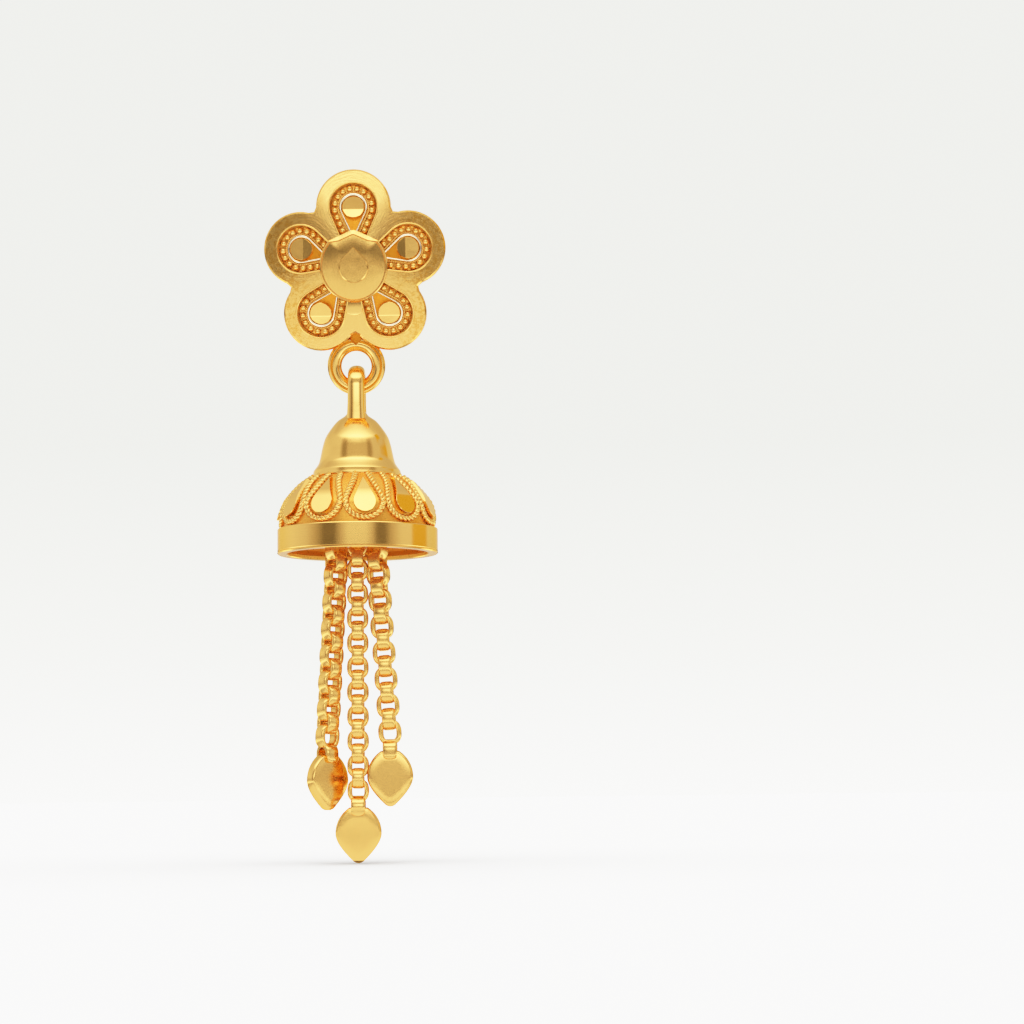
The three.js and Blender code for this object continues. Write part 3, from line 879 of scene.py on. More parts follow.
class EARRING_OT_stage(bpy.types.Operator):
    """Makes the camera, the pale floor and backdrop, and the soft studio light"""

    bl_idname = "earring.stage"
    bl_label = "Stage"

    def execute(self, context):
        scene = context.scene
        settings = scene.earring_stage
        camera = bpy.data.cameras.new("camera")
        camera.lens = settings.lens
        camera.sensor_width = 36
        camera.clip_start = 0.005
        camera.clip_end = 20
        viewer = bpy.data.objects.new("camera", camera)
        viewer.matrix_world = (
            Matrix.Translation(CAMERA_PLACE) @ spun(90 + CAMERA_UP) @ spun(CAMERA_ASIDE, "Z")
        )
        scene.collection.objects.link(viewer)
        scene.camera = viewer

        floor_z = cad_box[0].z - settings.floor_gap
        paper = floor_paper(tuple(settings.floor))
        rays = {"camera", "diffuse", "transmission", "shadow"}
        stage_piece(flat_round(FLOOR_REACH, floor_z), "floor", paper, rays)

        bm = bmesh.new()
        bmesh.ops.create_uvsphere(bm, u_segments=96, v_segments=48, radius=BACKDROP_REACH)
        move(bm, 0, 0, floor_z)
        stage_piece(bm, "backdrop", backdrop_paper(), {"camera"})

        # The lit table as the gold mirrors it, which darkens away from the earring.
        stage_piece(flat_round(TABLE_REACH, floor_z + 0.0002), "lit_table", table_cloth(), {"glossy"})

        # A warm card up to one side, 92 degrees round and 37 degrees up, which warms that side of the bell.
        bm = bmesh.new()
        bmesh.ops.create_grid(bm, x_segments=1, y_segments=1, size=1)
        bmesh.ops.scale(bm, verts=bm.verts, vec=(0.11, 0.1, 1))
        aim = spun(92, "Z") @ spun(90 - 37) @ Matrix.Translation((0, 0, 0.9))
        bmesh.ops.transform(bm, matrix=aim, verts=bm.verts)
        stage_piece(bm, "warm_card", card_paper(), {"glossy"})

        # A soft overhead light, which draws the shadow on the floor.
        lamp = bpy.data.lights.new("overhead", "SUN")
        lamp.angle = math.radians(30)
        lamp.energy = 4.0
        overhead = bpy.data.objects.new("overhead", lamp)
        overhead.matrix_world = spun(12)
        overhead.visible_camera = overhead.visible_glossy = False
        scene.collection.objects.link(overhead)

        scene.world = studio_world()
        view = scene.view_settings
        view.view_transform = "Standard"
        view.use_curve_mapping = True
        tones = view.curve_mapping
        tones.white_level = (3, 3, 3)
        for light, shown in SHOULDER:
            tones.curves[3].points.new(light, shown)
        tones.update()
        return {"FINISHED"}


# ---- Flower -----------------------------------------------------------------------------------------


def on_petal(x, y, lift=0.0):
    """A point at that place in the flower's plan, lift above the petal's sloping face, for a petal that
    points along +y."""
    return Vector((x, y + lift * math.sin(SLOPE), CROWN - y * math.tan(SLOPE) + lift * math.cos(SLOPE)))


def on_face(x, y):
    """The same on the plate's face, where each petal's slope runs softly into its neighbours'."""
    aside = abs(x) * math.sin(2 * HALF_SECTOR) + y * math.cos(2 * HALF_SECTOR)
    near = max(0.0, 1 - abs(y - aside) / SEAM_BLEND)
    fall = max(y, aside) + near**2 * SEAM_BLEND / 4
    return Vector((x, y, CROWN - fall * math.tan(SLOPE)))


def petal_turn(petal):
    """The turn that brings a petal along +y to its own place."""
    return spun(petal["angle"] - 90, "Z")


def petal_outline(reach, radius, arc_steps, seam_steps):
    """A petal's edge from the seam on its right, round its end, to the seam on its left."""
    across = ARC_END_REACH - reach * math.cos(HALF_SECTOR)
    gap = reach * math.sin(HALF_SECTOR) - math.sqrt(radius**2 - across**2)
    along = ARC_END_REACH * math.cos(HALF_SECTOR) + gap * math.sin(HALF_SECTOR)
    side = ARC_END_REACH * math.sin(HALF_SECTOR) - gap * math.cos(HALF_SECTOR)
    start = math.atan2(along - reach, side)
    seam = []
    for i in range(seam_steps):
        distance = SEAM_START + (NOTCH_REACH - SEAM_START) * i / (seam_steps - 1)
        seam.append((distance * math.sin(HALF_SECTOR), distance * math.cos(HALF_SECTOR)))
    return joined_sides(seam, arc_points(radius, reach, start, arc_steps))


def arc_points(radius, reach, start, steps):
    """From start to its mirror angle, about a centre on the y axis."""
    angles = [start + (math.pi - 2 * start) * i / steps for i in range(steps + 1)]
    return [(radius * math.cos(a), reach + radius * math.sin(a)) for a in angles]


def joined_sides(side, arc):
    """A side, then the arc, then the side's mirror image back."""
    return side + arc + [(-x, y) for x, y in reversed(side)]


def teardrop(radius, reach, neck, arc_steps, side_steps):
    """A round end whose straight sides run in to the neck corner (half width, reach)."""
    neck_half, neck_reach = neck
    to_neck = math.atan2(neck_reach - reach, neck_half)
    distance = math.hypot(neck_half, neck_reach - reach)
    tangent = to_neck + math.acos(radius / distance)
    touch = Vector((radius * math.cos(tangent), reach + radius * math.sin(tangent)))
    corner = Vector(neck)
    side = [tuple(corner.lerp(touch, i / side_steps)) for i in range(side_steps)]
    return joined_sides(side, arc_points(radius, reach, tangent, arc_steps))


def flower_face(bm, petal, sizes):
    """One petal's face with its sunk field. Returns the field's edges, to bevel later."""
    reach = petal["reach"]
    radius, depth = sizes.petal_radius / MM, sizes.window_depth / MM
    seam_steps, arc_steps = 7, 44
    rim = petal_outline(reach, radius, arc_steps, seam_steps)
    field = teardrop(sizes.window_radius / MM, reach, (0.94, 1.9), arc_steps, seam_steps)
    spin = petal_turn(petal)
    before = set(bm.faces)
    rows = []
    for i in range(7):
        flat = [Vector(a).lerp(Vector(b), i / 6) for a, b in zip(rim, field)]
        rows.append([spin @ on_face(x, y) for x, y in flat])
    row = inner = loft(bm, rows)[1]
    rim_faces = set(bm.faces)
    for radius, share in ((1.61, 0.08), (1.54, 0.55), (1.46, 0.9), (1.34, 1.0)):
        flat = teardrop(radius, reach, (radius - 0.71, 1.9), arc_steps, seam_steps)
        row = next_row(bm, row, [spin @ on_petal(x, y, -depth * share) for x, y in flat])
    cap(bm, row)
    # The sunk field's faces take the inside colour, whose deeper orange is a painted reflection.
    for face in set(bm.faces) - rim_faces:
        face.material_index = 1
    brush = bm.loops.layers.uv.verify()
    back = spin.inverted()
    for face in set(bm.faces) - before:
        for loop in face.loops:
            local = back @ loop.vert.co
            away = Vector((local.x, local.y - reach))
            loop[brush].uv = (2.0 * math.atan2(away.x, away.y), away.length)
    return edges_between(bm, inner)


class EARRING_OT_flower_plate(bpy.types.Operator):
    """Makes the five-petalled plate with its sunk fields"""

    bl_idname = "earring.flower_plate"
    bl_label = "Flower plate"

    def execute(self, context):
        sizes = context.scene.earring_flower
        bm = bmesh.new()
        bm.loops.layers.uv.new("brush")
        field_edges = []
        for petal in PETALS:
            field_edges += flower_face(bm, petal, sizes)
        merge(bm)
        open_edges = [e for e in bm.edges if e.is_boundary]
        middle = [e for e in open_edges if e.verts[0].co.xy.length < 1]
        outline = [e for e in open_edges if e.verts[0].co.xy.length > 3]
        bmesh.ops.holes_fill(bm, edges=middle, sides=0)
        for vert in new_verts(bmesh.ops.extrude_edge_only(bm, edges=outline)):
            vert.co.z = 0
        rest = [e for e in bm.edges if e.is_boundary]
        bmesh.ops.holes_fill(bm, edges=rest, sides=0)
        soften(bm, [e for e in outline if e.is_valid] + rest, sizes.edge_bevel / MM, 1)
        soften(bm, [e for e in field_edges if e.is_valid], 0.06, 1)
        piece = place_piece(bm, "flower_plate", STUD, finish("petal"), finish("inside"), crease=8)
        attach(piece, "stud")
        return {"FINISHED"}


class EARRING_OT_petal_wirework(bpy.types.Operator):
    """Makes the beads, the twisted wires and the wall in each petal, the wall painted pale as a painted
    highlight
    """

    bl_idname = "earring.petal_wirework"
    bl_label = "Petal wirework"

    def execute(self, context):
        sizes = context.scene.earring_flower
        floor = -sizes.window_depth / MM
        bead = sizes.bead_radius / MM
        draw = random.Random(7)
        beads, wires, walls, fields, grain = (bmesh.new() for _ in range(5))
        bmesh.ops.create_icosphere(grain, subdivisions=3, radius=bead)
        for petal in PETALS:
            reach, spin = petal["reach"], petal_turn(petal)
            outward = (spin @ on_petal(0, 0, 1)) - (spin @ on_petal(0, 0))

            def outline(line, lift):
                radius, neck = line
                return [spin @ on_petal(x, y, lift) for x, y in teardrop(radius, reach, neck, 60, 12)]

            for point in even_steps(outline(BEAD_LINE, floor + bead + 0.03), sizes.bead_pitch / MM):
                grown = Matrix.Scale(draw.uniform(0.93, 1.06), 4)
                add_copy(beads, grain, Matrix.Translation(point) @ grown)
            line = even_steps(outline(TWIST_LINE, floor + 0.17), 0.035)
            twist_wires(wires, line, [outward] * len(line), 0.07, 0.26)
            line = even_steps(outline(RIM_LINE, -0.02), 0.07)
            sweep(wires, line, [outward] * len(line), circle_section(0.055, 8))
            line = even_steps(outline(WALL_LINE, floor), 0.09)
            sweep(walls, line, [outward] * len(line), WALL)
            # The scraped field inside the wall is a thin sheet of its own, whose deep orange is a painted
            # reflection of the gold round it.
            loft(fields, [outline(PAD_LINE, lift) for lift in (floor - 0.02, floor + 0.03)], caps=True)
            # Round the disc the wall is cut wider than along its two legs.
            middle = spin @ on_petal(0, reach, floor)
            ahead = (spin @ on_petal(0, reach + 1, floor)) - middle
            arch = [p for p in line if (p - middle).dot(ahead) > -0.2]
            sweep(walls, arch, [outward] * len(arch), [(up + 0.01, 1.45 * side) for up, side in WALL])
        grain.free()
        # The walls' pale colour is a painted highlight.
        for bm, name, material, slot in (
            (beads, "petal_beads", "wirework", "gold_satin"),
            (wires, "petal_twisted_wires", "wirework", "gold_satin"),
            (walls, "petal_walls", "bright_cut", "gold_polished"),
            (fields, "petal_fields", "field", "gold_satin"),
        ):
            piece = place_piece(bm, name, STUD, finish(material), crease=60)
            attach(piece, "stud")
        return {"FINISHED"}


class EARRING_OT_petal_discs(bpy.types.Operator):
    """Makes the faceted disc in each petal"""

    bl_idname = "earring.petal_discs"
    bl_label = "Petal discs"

    def execute(self, context):
        sizes = context.scene.earring_flower
        radius = sizes.disc_radius / MM
        ridge, shift = 0.46, -0.16
        for i, petal in enumerate(PETALS):
            bm = bmesh.new()
            bmesh.ops.create_circle(bm, cap_ends=True, segments=64, radius=radius)
            top = new_verts(bmesh.ops.extrude_face_region(bm, geom=bm.faces[:]))
            bmesh.ops.translate(bm, verts=top, vec=(0, 0, ridge))
            slice_level(bm, (0, shift, 0), (0, 1, 0))
            facet_turn, larger, smaller, lean = petal["disc"]
            up = spun(-facet_turn, "Z") @ Vector((0, 1, 0))
            for vert in bm.verts:
                if vert.co.z > ridge / 2:
                    away = vert.co.y - shift
                    fall = math.tan(math.radians(larger if away > 0 else smaller)) * abs(away)
                    vert.co.z -= fall + math.tan(math.radians(lean)) * vert.co.dot(up)
            rim = []
            for edge in bm.edges:
                a, b = edge.verts
                upper = min(a.co.z, b.co.z) > 0.02 and min(a.co.xy.length, b.co.xy.length) > radius * 0.98
                level = abs(a.co.z - b.co.z) < 0.04
                if upper and level and min(abs(f.normal.z) for f in edge.link_faces) < 0.3:
                    rim.append(edge)
            soften(bm, rim, 0.03, 1)
            on_ridge = {v for v in bm.verts if abs(v.co.y - shift) < MERGE and v.co.z > ridge / 2}
            soften(bm, [e for e in bm.edges if on_ridge.issuperset(e.verts)], 0.12, 3)
            seat = Matrix.Translation(on_petal(0, petal["reach"], 0.04 - sizes.window_depth / MM))
            place = petal_turn(petal) @ seat @ Matrix.Rotation(-SLOPE, 4, "X")
            place @= spun(facet_turn - petal["angle"] + 90, "Z")
            bmesh.ops.transform(bm, matrix=place, verts=bm.verts)
            piece = place_piece(bm, f"disc_{petal['name']}", STUD, finish("polished"), crease=20)
            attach(piece, "stud")
            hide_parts(f"petal_disc_{i + 1}")
        return {"FINISHED"}


# The boss's rows from its foot to its middle: inset and height on its round, the same along its straight
# edges, and a scale.
BOSS_ROWS = [
    (0.03, -0.36, 0.03, -0.36), (0, -0.32, 0, -0.32), (0, -0.17, 0, -0.22), (0.02, -0.13, 0.02, -0.21),
    (0.08, -0.08, 0.25, -0.08), (0.1, -0.08, 0.27, -0.08), (0.12, -0.12, 0.29, -0.11),
    (0.15, -0.12, 0.31, -0.11), (0.18, -0.08, 0.33, -0.08), (0.18, -0.045, 0.33, -0.045, 0.88),
    (0.18, -0.01, 0.33, -0.01, 0.7), (0.18, 0.01, 0.33, 0.01, 0.5),
]


class EARRING_OT_boss(bpy.types.Operator):
    """Makes the planished boss at the flower's centre"""

    bl_idname = "earring.boss"
    bl_label = "Centre boss"

    def execute(self, context):
        half_width, half_height, corner = 2.25, 2.39, math.radians(44)
        steps = 72
        outline = []
        for i in range(steps + 1):
            angle = math.pi - corner + (math.pi + 2 * corner) * i / steps
            outline.append(Vector((half_width * math.cos(angle), half_height * math.sin(angle))))
        right, left, peak = outline[-1], outline[0], Vector((0, half_height))
        outline += [right.lerp(peak, 0.85 * i / 8) for i in range(1, 8)]
        outline += interpolate_bezier(*(a.lerp(peak, k) for a, k in (
            (right, 0.85), (right, 0.95), (left, 0.95), (left, 0.85),
        )), 9)
        outline += [left.lerp(peak, 0.85 * i / 8) for i in range(7, 0, -1)]
        count = len(outline)
        high = BOSS_SEAT + 0.39

        def row(inset, z, top_inset, top_z, scale=1.0):
            """The outline drawn in by inset at height z, or by the other two along the straight edges."""
            points = []
            for i, point in enumerate(outline):
                along = (outline[(i + 1) % count] - outline[i - 1]).normalized()
                from_corner = min(i - steps, count - i) / 8 if i > steps else 0
                share = min(1.0, from_corner / 0.4)
                drawn = inset + (top_inset - inset) * share
                flat = (point + Vector((-along.y, along.x)) * drawn) * scale
                points.append(Vector((*flat, high + z + (top_z - z) * share)))
            return points

        bm = bmesh.new()
        loft(bm, [row(*numbers) for numbers in BOSS_ROWS], caps=True)

        # The flat table in the middle, a round with a point above it.
        shift = -0.15
        table = pointed_round(0.96, 1.36, 40)
        levels = [(1.05, high - 0.06), (1.0, high + 0.04), (0.93, high + 0.08), (0.5, high + 0.085)]
        loft(bm, [[Vector((x * k, y * k + shift, z)) for x, y in table] for k, z in levels], caps=True)
        piece = place_piece(bm, "boss", STUD, finish("planished"), crease=20)
        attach(piece, "stud")
        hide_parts("centre_boss")
        return {"FINISHED"}


class EARRING_OT_ring(bpy.types.Operator):
    """Makes the grooved hanging ring and the tab that closes the notch above it"""

    bl_idname = "earring.ring"
    bl_label = "Hanging ring"

    def execute(self, context):
        front = [
            (1.0, 0), (1.0, 0.15), (1.02, 0.2), (1.14, 0.33), (1.18, 0.35), (1.22, 0.32), (1.26, 0.355),
            (1.31, 0.4), (1.44, 0.43), (1.56, 0.4), (1.6, 0.36), (1.645, 0.3), (1.69, 0.345), (1.73, 0.38),
            (1.8, 0.37), (1.87, 0.31), (1.92, 0.18), (1.92, 0),
        ]
        back = [(radius, -z) for radius, z in reversed(front[1:-1])]
        bm = bmesh.new()
        turn(bm, front + back, 112, closed=True)
        move(bm, 0, RING_Y, RING_DEPTH)
        bmesh.ops.recalc_face_normals(bm, faces=bm.faces)
        # A diamond-shaped notch at the ring's top.
        notch = bmesh.new()
        bmesh.ops.create_cone(
            notch, cap_ends=True, segments=4, radius1=0.38, radius2=0.44, depth=1.0,
            matrix=Matrix.Translation((0.0, -4.85, 0.72)) @ Matrix.Scale(0.95, 4, (1, 0, 0)),
        )
        cut_away(bm, notch)
        notch.free()
        ring = place_piece(bm, "hanging_ring", STUD, finish("satin"), crease=30)
        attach(ring, "stud")
        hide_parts("flower_with_ring")

        bm = bmesh.new()
        bmesh.ops.create_cube(bm, size=1)
        bmesh.ops.scale(bm, verts=bm.verts, vec=(1.4, 1.8, 0.3))
        move(bm, 0, -4.5, 0.17)
        soften(bm, bm.edges[:], 0.04)
        # The tab's deep orange field colour is a painted reflection.
        tab = place_piece(bm, "ring_tab", STUD, finish("field"), crease=20)
        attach(tab, "stud")

        # The small level facet below the boss, where the two lower petals meet.
        bm = bmesh.new()
        outline = [
            (-0.58, -2.1), (-0.56, -3.02), (-0.42, -3.17), (-0.2, -3.25), (0, -3.28), (0.2, -3.24),
            (0.38, -3.15), (0.5, -3.02), (0.52, -2.1),
        ]
        row = draw_row(bm, [(x, y, 1.4) for x, y in outline])
        cap(bm, row)
        row = next_row(bm, row, [(x, y, 1.6 + 0.012 * y) for x, y in outline])
        cap(bm, row)
        soften(bm, edges_between(bm, row), 0.035, 2)
        facet = place_piece(bm, "seam_facet", STUD, finish("petal"), crease=35)
        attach(facet, "stud")
        return {"FINISHED"}


class EARRING_OT_post(bpy.types.Operator):
    """Makes the ear post with its foot and its friction groove"""

    bl_idname = "earring.post"
    bl_label = "Ear post"

    def execute(self, context):
        profile = [
            (0, 0.03), (0.86, 0.03), (0.9, 0.0), (0.9, -0.22), (0.84, -0.3), (0.62, -0.36), (0.52, -0.46),
            (0.5, -0.6), (0.5, -7.9), (0.44, -8.05), (0.44, -8.35), (0.5, -8.5), (0.5, -9.55), (0.47, -9.75),
            (0.38, -9.92), (0.2, -10.0), (0, -10.02),
        ]
        bm = bmesh.new()
        turn(bm, profile, 40)
        piece = place_piece(bm, "post", STUD, finish("polished"), crease=40)
        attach(piece, "stud")
        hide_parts("ear_post")
        return {"FINISHED"}


# ---- Bell -------------------------------------------------------------------------------------------


def on_skirt(x, z, stand, angle):
    """A point x to the side of a plate's middle line, stand off the skirt."""
    radius = height_at(SKIRT, z) + stand
    return Matrix.Rotation(angle, 3, "Z") @ Vector((x, -math.sqrt(radius**2 - x**2), z))


def around_skirt(one):
    """A copy of one shape at each plate's place. The one shape is used up."""
    bm = bmesh.new()
    for i in range(PLATE_COUNT):
        add_copy(bm, one, Matrix.Rotation(PLATE_FIRST + i * PLATE_STEP, 4, "Z"))
    one.free()
    return bm


class EARRING_OT_loop(bpy.types.Operator):
    """Makes the loop that hangs on the ring"""

    bl_idname = "earring.loop"
    bl_label = "Loop"

    def execute(self, context):
        inside, thick, wide, straight, flatness = 0.62, 0.45, 0.56, 1.0, 0.82
        fullness = 0.9
        profile = [
            (inside + thick + powered(out, fullness) * thick, powered(across, fullness) * wide)
            for out, across in circle_section(1, 24)
        ]
        bm = bmesh.new()
        turn(bm, profile, 64, closed=True)
        bmesh.ops.transform(bm, matrix=spun(90, "Y"), verts=bm.verts)
        for vert in bm.verts:
            if vert.co.z < -1e-4:
                # The lower half is pulled down into two straight legs, closed where the dome hides it.
                away = vert.co.yz.length
                share = -vert.co.z / away
                closed = max(0, share - 0.97) / 0.03
                vert.co.y = math.copysign(away * (1 - closed), vert.co.y)
                vert.co.x *= 1 + 0.1 * share
                vert.co.z -= straight
            vert.co.y *= flatness
        move(bm, DOME_SHIFT / 2, 0, 0)
        piece = place_piece(bm, "loop", DROP, finish("polished"), crease=60)
        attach(piece, "drop")
        return {"FINISHED"}


class EARRING_OT_dome(bpy.types.Operator):
    """Makes the polished dome with its flared lip"""

    bl_idname = "earring.dome"
    bl_label = "Dome"

    def execute(self, context):
        outside = smooth_line(DOME_OUTSIDE, 6) + DOME_LIP
        bm = bmesh.new()
        turn(bm, outside + DOME_INSIDE, 128)
        move(bm, DOME_SHIFT, 0, 0)
        piece = place_piece(bm, "dome", DROP, finish("polished"), crease=40)
        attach(piece, "drop")
        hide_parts("bell_with_loop")
        return {"FINISHED"}


class EARRING_OT_skirt(bpy.types.Operator):
    """Makes the skirt with its plates, twisted ropes and grains"""

    bl_idname = "earring.skirt"
    bl_label = "Skirt"

    def execute(self, context):
        sizes = context.scene.earring_bell
        bm = bmesh.new()
        turn(bm, smooth_line(SKIRT, 4) + SKIRT_INSIDE, 132, closed=True)
        # The shell's deeper colour under the ropes and inside the bell is a painted reflection.
        shell = place_piece(bm, "skirt_shell", DROP, finish("recess"), crease=40)
        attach(shell, "drop")

        one = bmesh.new()
        self.add_plate(one, sizes.plate_radius / MM)
        plates = place_piece(around_skirt(one), "skirt_plates", DROP, finish("polished"), crease=25)
        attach(plates, "drop")

        one = bmesh.new()
        self.add_rope(one, sizes)
        ropes = place_piece(around_skirt(one), "skirt_ropes", DROP, finish("wirework"), crease=60)
        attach(ropes, "drop")

        bm = bmesh.new()
        for i in range(0, PLATE_COUNT, 2):
            point = on_skirt(0, -8.55, 0.15, PLATE_FIRST + (i + 0.37) * PLATE_STEP)
            bmesh.ops.create_icosphere(bm, subdivisions=3, radius=0.16, matrix=Matrix.Translation(point))
        grains = place_piece(bm, "skirt_grains", DROP, finish("wirework"), crease=60)
        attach(grains, "drop")
        return {"FINISHED"}

    def add_plate(self, bm, radius):
        """A teardrop plate of two flat facets that meet in a fold."""
        outline = pointed_round(radius, PLATE_POINT_Z - PLATE_ROUND_Z, 32)
        root, middle, front = -4, -5, -6  # y, until the front is bent
        loft(bm, [[Vector((x, y, PLATE_ROUND_Z + z)) for x, z in outline] for y in (root, front)], caps=True)
        for _, z in PLATE_FRONT[1:-1]:
            slice_level(bm, (0, 0, z), (0, 0, 1))
        edge_faces = {f for f in bm.faces if abs(f.calc_center_median().y) < -(middle + front) / 2}
        rim = [
            e for e in bm.edges
            if all(v.co.y < middle for v in e.verts) and not edge_faces.isdisjoint(e.link_faces)
        ]
        for vert in bm.verts:
            vert.co.y = -height_at(PLATE_FRONT, vert.co.z) + (0.6 if vert.co.y > middle else 0)
        soften(bm, rim, 0.035, 1)

    def add_rope(self, bm, sizes):
        """A twisted rope, down one side of a plate, round its foot and up the other side."""
        radius = sizes.rope_radius / MM
        half, drop, top = 1.23, 1.09, -6.1
        corners = [(-0.41, top), (-0.62, -6.9), (-half, -7.75), (-half, PLATE_ROUND_Z)]
        leg = interpolate_bezier(*(Vector(corner) for corner in corners), 24)
        flat = [(p.x, p.y) for p in leg]
        for i in range(1, 24):
            a = math.pi + math.pi * i / 24
            flat.append((half * math.cos(a), PLATE_ROUND_Z + drop * math.sin(a)))
        flat += [(-p.x, p.y) for p in reversed(leg)]
        line = even_steps([on_skirt(x, z, radius * 0.6, 0) for x, z in flat], sizes.rope_pitch / MM / 10)
        normals = [Vector((p.x, p.y, 0)).normalized() for p in line]
        twist_wires(bm, line, normals, radius, sizes.rope_pitch / MM, 0.6)


class EARRING_OT_band(bpy.types.Operator):
    """Makes the band round the bell's foot, and the bar inside it"""

    bl_idname = "earring.band"
    bl_label = "Band and bar"

    def execute(self, context):
        bm = bmesh.new()
        turn(bm, BAND, 144, closed=True)
        # The band's inner faces take the inside colour, whose deeper orange is a painted reflection.
        for face in bm.faces:
            centre = face.calc_center_median()
            face.material_index = int(centre.xy.length < 4.95 and centre.z > -11.12)
        band = place_piece(bm, "band", DROP, finish("band"), finish("inside"), crease=12)
        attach(band, "drop")

        profile = [(0, -4.7), (0.42, -4.7), (0.42, -4.5), (0.3, -4.38), (0.28, -4.2)]
        profile += [(radius, -z) for radius, z in reversed(profile)]
        bm = bmesh.new()
        turn(bm, profile, 28)
        bmesh.ops.transform(bm, matrix=Matrix.Translation((0, 0, BAR_Z)) @ spun(90, "Y"), verts=bm.verts)
        bar = place_piece(bm, "bar", DROP, finish("polished"))
        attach(bar, "drop")
        return {"FINISHED"}


# ---- Chains and leaves ------------------------------------------------------------------------------


def one_link(sizes, height):
    """One box-chain link about the origin, its opening seen from the front."""
    wall, strip = sizes.strip_wall / MM, sizes.strip_width / MM
    half_x = (sizes.link_width / MM - wall) / 2
    half_z = (height / MM - wall) / 2
    fullness, steps = 0.78, 40
    slope = 2 / fullness - 1
    path, normals = [], []
    for i in range(steps):
        angle = FULL_TURN * (i + 0.5) / steps
        x, z = powered(math.cos(angle), fullness), powered(math.sin(angle), fullness)
        path.append(Vector((x * half_x, 0, z * half_z)))
        normals.append(Vector((powered(x, slope) / half_x, 0, powered(z, slope) / half_z)).normalized())
    t, w = wall / 2, strip / 2
    section = [
        (t - 0.03, -w + 0.06), (t, -w + 0.15), (t + 0.01, 0), (t, w - 0.15), (t - 0.03, w - 0.06),
        (t - 0.1, w), (-t + 0.06, w), (-t, w - 0.07), (-t, -w + 0.07), (-t + 0.06, -w), (t - 0.1, -w),
    ]
    bm = bmesh.new()
    sweep(bm, path, normals, section, closed=True)
    return bm


class EARRING_OT_chains(bpy.types.Operator):
    """Makes the three box chains"""

    bl_idname = "earring.chains"
    bl_label = "Chains"

    def execute(self, context):
        sizes = context.scene.earring_chain
        face_on, side_on = one_link(sizes, sizes.link_height), one_link(sizes, sizes.barrel_height)
        pitch = sizes.link_pitch / MM
        draw = random.Random(11)
        for strand in STRANDS:
            # The first link from the foot stands in the bail, and every other one lies across it.
            foot = Vector((strand["x"], 0, strand["tip"] + BAIL_ARCH + pitch + strand["foot"]))
            top = Vector((strand["hang"], 0, BAR_Z - 0.13))
            count = strand["links"]
            fit = Matrix.Scale((top - foot).length / (count - 1) / pitch, 4)
            lean = Matrix.Rotation(math.atan2(top.x - foot.x, top.z - foot.z), 4, "Y")
            top_turn, foot_turn = strand["turns"]
            bm = bmesh.new()
            for i in range(count):
                share = i / (count - 1)
                ease = max(0, min(1, (share - 0.45) / 0.55))
                angle = foot_turn + (top_turn - foot_turn) * ease + i % 2 * 90 + draw.uniform(-2, 2)
                place = Matrix.Translation(foot.lerp(top, share)) @ lean @ spun(angle, "Z") @ fit
                add_copy(bm, side_on if i % 2 else face_on, place)
            piece = place_piece(bm, f"box_chain_{strand['name']}", DROP, finish("chain"), crease=50)
            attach(piece, "drop")
            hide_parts(f"chain_{strand['name']}")
        face_on.free()
        side_on.free()
        return {"FINISHED"}


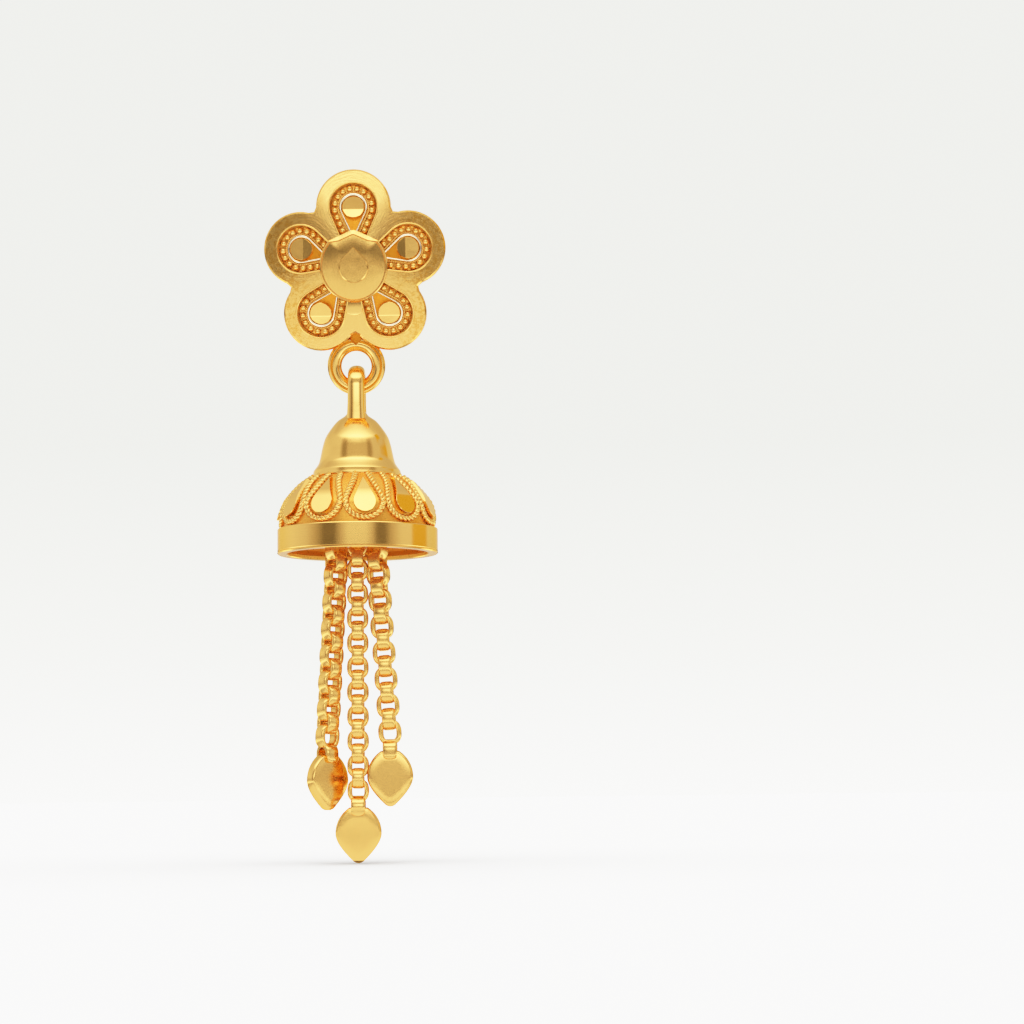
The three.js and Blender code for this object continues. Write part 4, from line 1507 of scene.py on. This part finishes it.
class EARRING_OT_leaves(bpy.types.Operator):
    """Makes the three leaves with their bails"""

    bl_idname = "earring.leaves"
    bl_label = "Leaves"

    def execute(self, context):
        half = context.scene.earring_chain.leaf_thickness / MM / 2
        for strand in STRANDS:
            bm = bmesh.new()
            self.add_leaf(bm, half)
            self.add_bail(bm)
            place = Matrix.Translation((strand["x"], 0, strand["tip"] + BAIL_ARCH))
            place @= spun(-strand["tilt"]) @ spun(strand["turns"][1], "Z")
            place @= Matrix.Translation((0, 0, -BAIL_ARCH))
            bmesh.ops.transform(bm, matrix=place, verts=bm.verts)
            piece = place_piece(bm, f"leaf_drop_{strand['name']}", DROP, finish("satin"), crease=35)
            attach(piece, "drop")
            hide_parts(f"leaf_{strand['name']}")
        return {"FINISHED"}

    def add_leaf(self, bm, half):
        """A flat leaf on its tip, slightly crowned, with a rounded bevel all round."""
        outline = []
        for corners in LEAF_OUTLINE:
            a, b, c, d = (Vector(p) for p in corners)
            outline += interpolate_bezier(a, b, c, d, 13)[:-1]
        outline.append(Vector(LEAF_OUTLINE[-1][-1]))
        middle = Vector((0, 1.85))

        def row(share, y):
            points = [middle + (p - middle) * share for p in outline]
            return [Vector((p.x, y, p.y)) for p in points]

        edge = [
            (1.0, half - 0.22), (0.985, half - 0.12), (0.955, half - 0.045), (0.92, half - 0.01),
            (0.895, half), (0.6, half + 0.006),
        ]
        rows = [row(share, y) for share, y in reversed(edge)] + [row(share, -y) for share, y in edge]
        loft(bm, rows, caps=True)

    def add_bail(self, bm):
        """A strap bent over the leaf's top edge, its ends like round tongues."""
        outside, wall, foot, half_width = 0.68, 0.3, 3.1, 0.46
        middle = outside - wall / 2
        tongue = [
            (foot, 0.5), (foot + 0.05, 0.78), (foot + 0.14, 0.93), (foot + 0.28, 1.0),
            (BAIL_ARCH - 0.1, 1.0),
        ]
        stations = [(Vector((0, middle, z)), Vector((0, 1, 0)), width) for z, width in tongue]
        for i in range(13):
            a = math.pi * i / 12
            out = Vector((0, math.cos(a), math.sin(a)))
            stations.append((Vector((0, 0, BAIL_ARCH)) + out * middle, out, 1.0))
        for z, width in reversed(tongue):
            stations.append((Vector((0, -middle, z)), Vector((0, -1, 0)), width))
        rows = []
        for point, out, width in stations:
            w, t = half_width * width, wall / 2 * (0.55 + 0.45 * width)
            section = [
                (t - 0.03, -w + 0.05), (t, -w + 0.13), (t, w - 0.13), (t - 0.03, w - 0.05),
                (t - 0.09, w), (-wall / 2, w), (-wall / 2, -w), (t - 0.09, -w),
            ]
            rows.append([point + out * lift + Vector((across, 0, 0)) for lift, across in section])
        loft(bm, rows, caps=True)


# ---- The add-on -------------------------------------------------------------------------------------

STEPS = (
    "stage", "flower_plate", "petal_wirework", "petal_discs", "boss", "ring", "post",
    "loop", "dome", "skirt", "band", "chains", "leaves",
)
GROUPS = {
    "earring_flower": EARRING_PG_flower,
    "earring_bell": EARRING_PG_bell,
    "earring_chain": EARRING_PG_chain,
    "earring_gold": EARRING_PG_gold,
    "earring_stage": EARRING_PG_stage,
}


class EARRING_PT_bench(bpy.types.Panel):
    """Lists the earring's sizes, colours and pieces"""

    bl_idname = "EARRING_PT_bench"
    bl_label = "Drop earring"
    bl_space_type = "VIEW_3D"
    bl_region_type = "UI"
    bl_category = "Earring"

    def draw(self, context):
        for group in GROUPS:
            box = self.layout.box()
            values = getattr(context.scene, group)
            for name in values.__annotations__:
                box.prop(values, name)
        for step in STEPS:
            self.layout.operator(f"earring.{step}")


CLASSES = (
    *GROUPS.values(), EARRING_OT_stage, EARRING_OT_flower_plate, EARRING_OT_petal_wirework,
    EARRING_OT_petal_discs, EARRING_OT_boss, EARRING_OT_ring, EARRING_OT_post, EARRING_OT_loop,
    EARRING_OT_dome, EARRING_OT_skirt, EARRING_OT_band, EARRING_OT_chains, EARRING_OT_leaves,
    EARRING_PT_bench,
)


def register():
    for item in CLASSES:
        bpy.utils.register_class(item)
    for name, group in GROUPS.items():
        setattr(bpy.types.Scene, name, bpy.props.PointerProperty(type=group))


def unregister():
    for name in GROUPS:
        delattr(bpy.types.Scene, name)
    for item in reversed(CLASSES):
        bpy.utils.unregister_class(item)


def main():
    """Registers the add-on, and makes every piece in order."""
    register()
    for step in STEPS:
        getattr(bpy.ops.earring, step)()


if __name__ == "__main__":
    main()
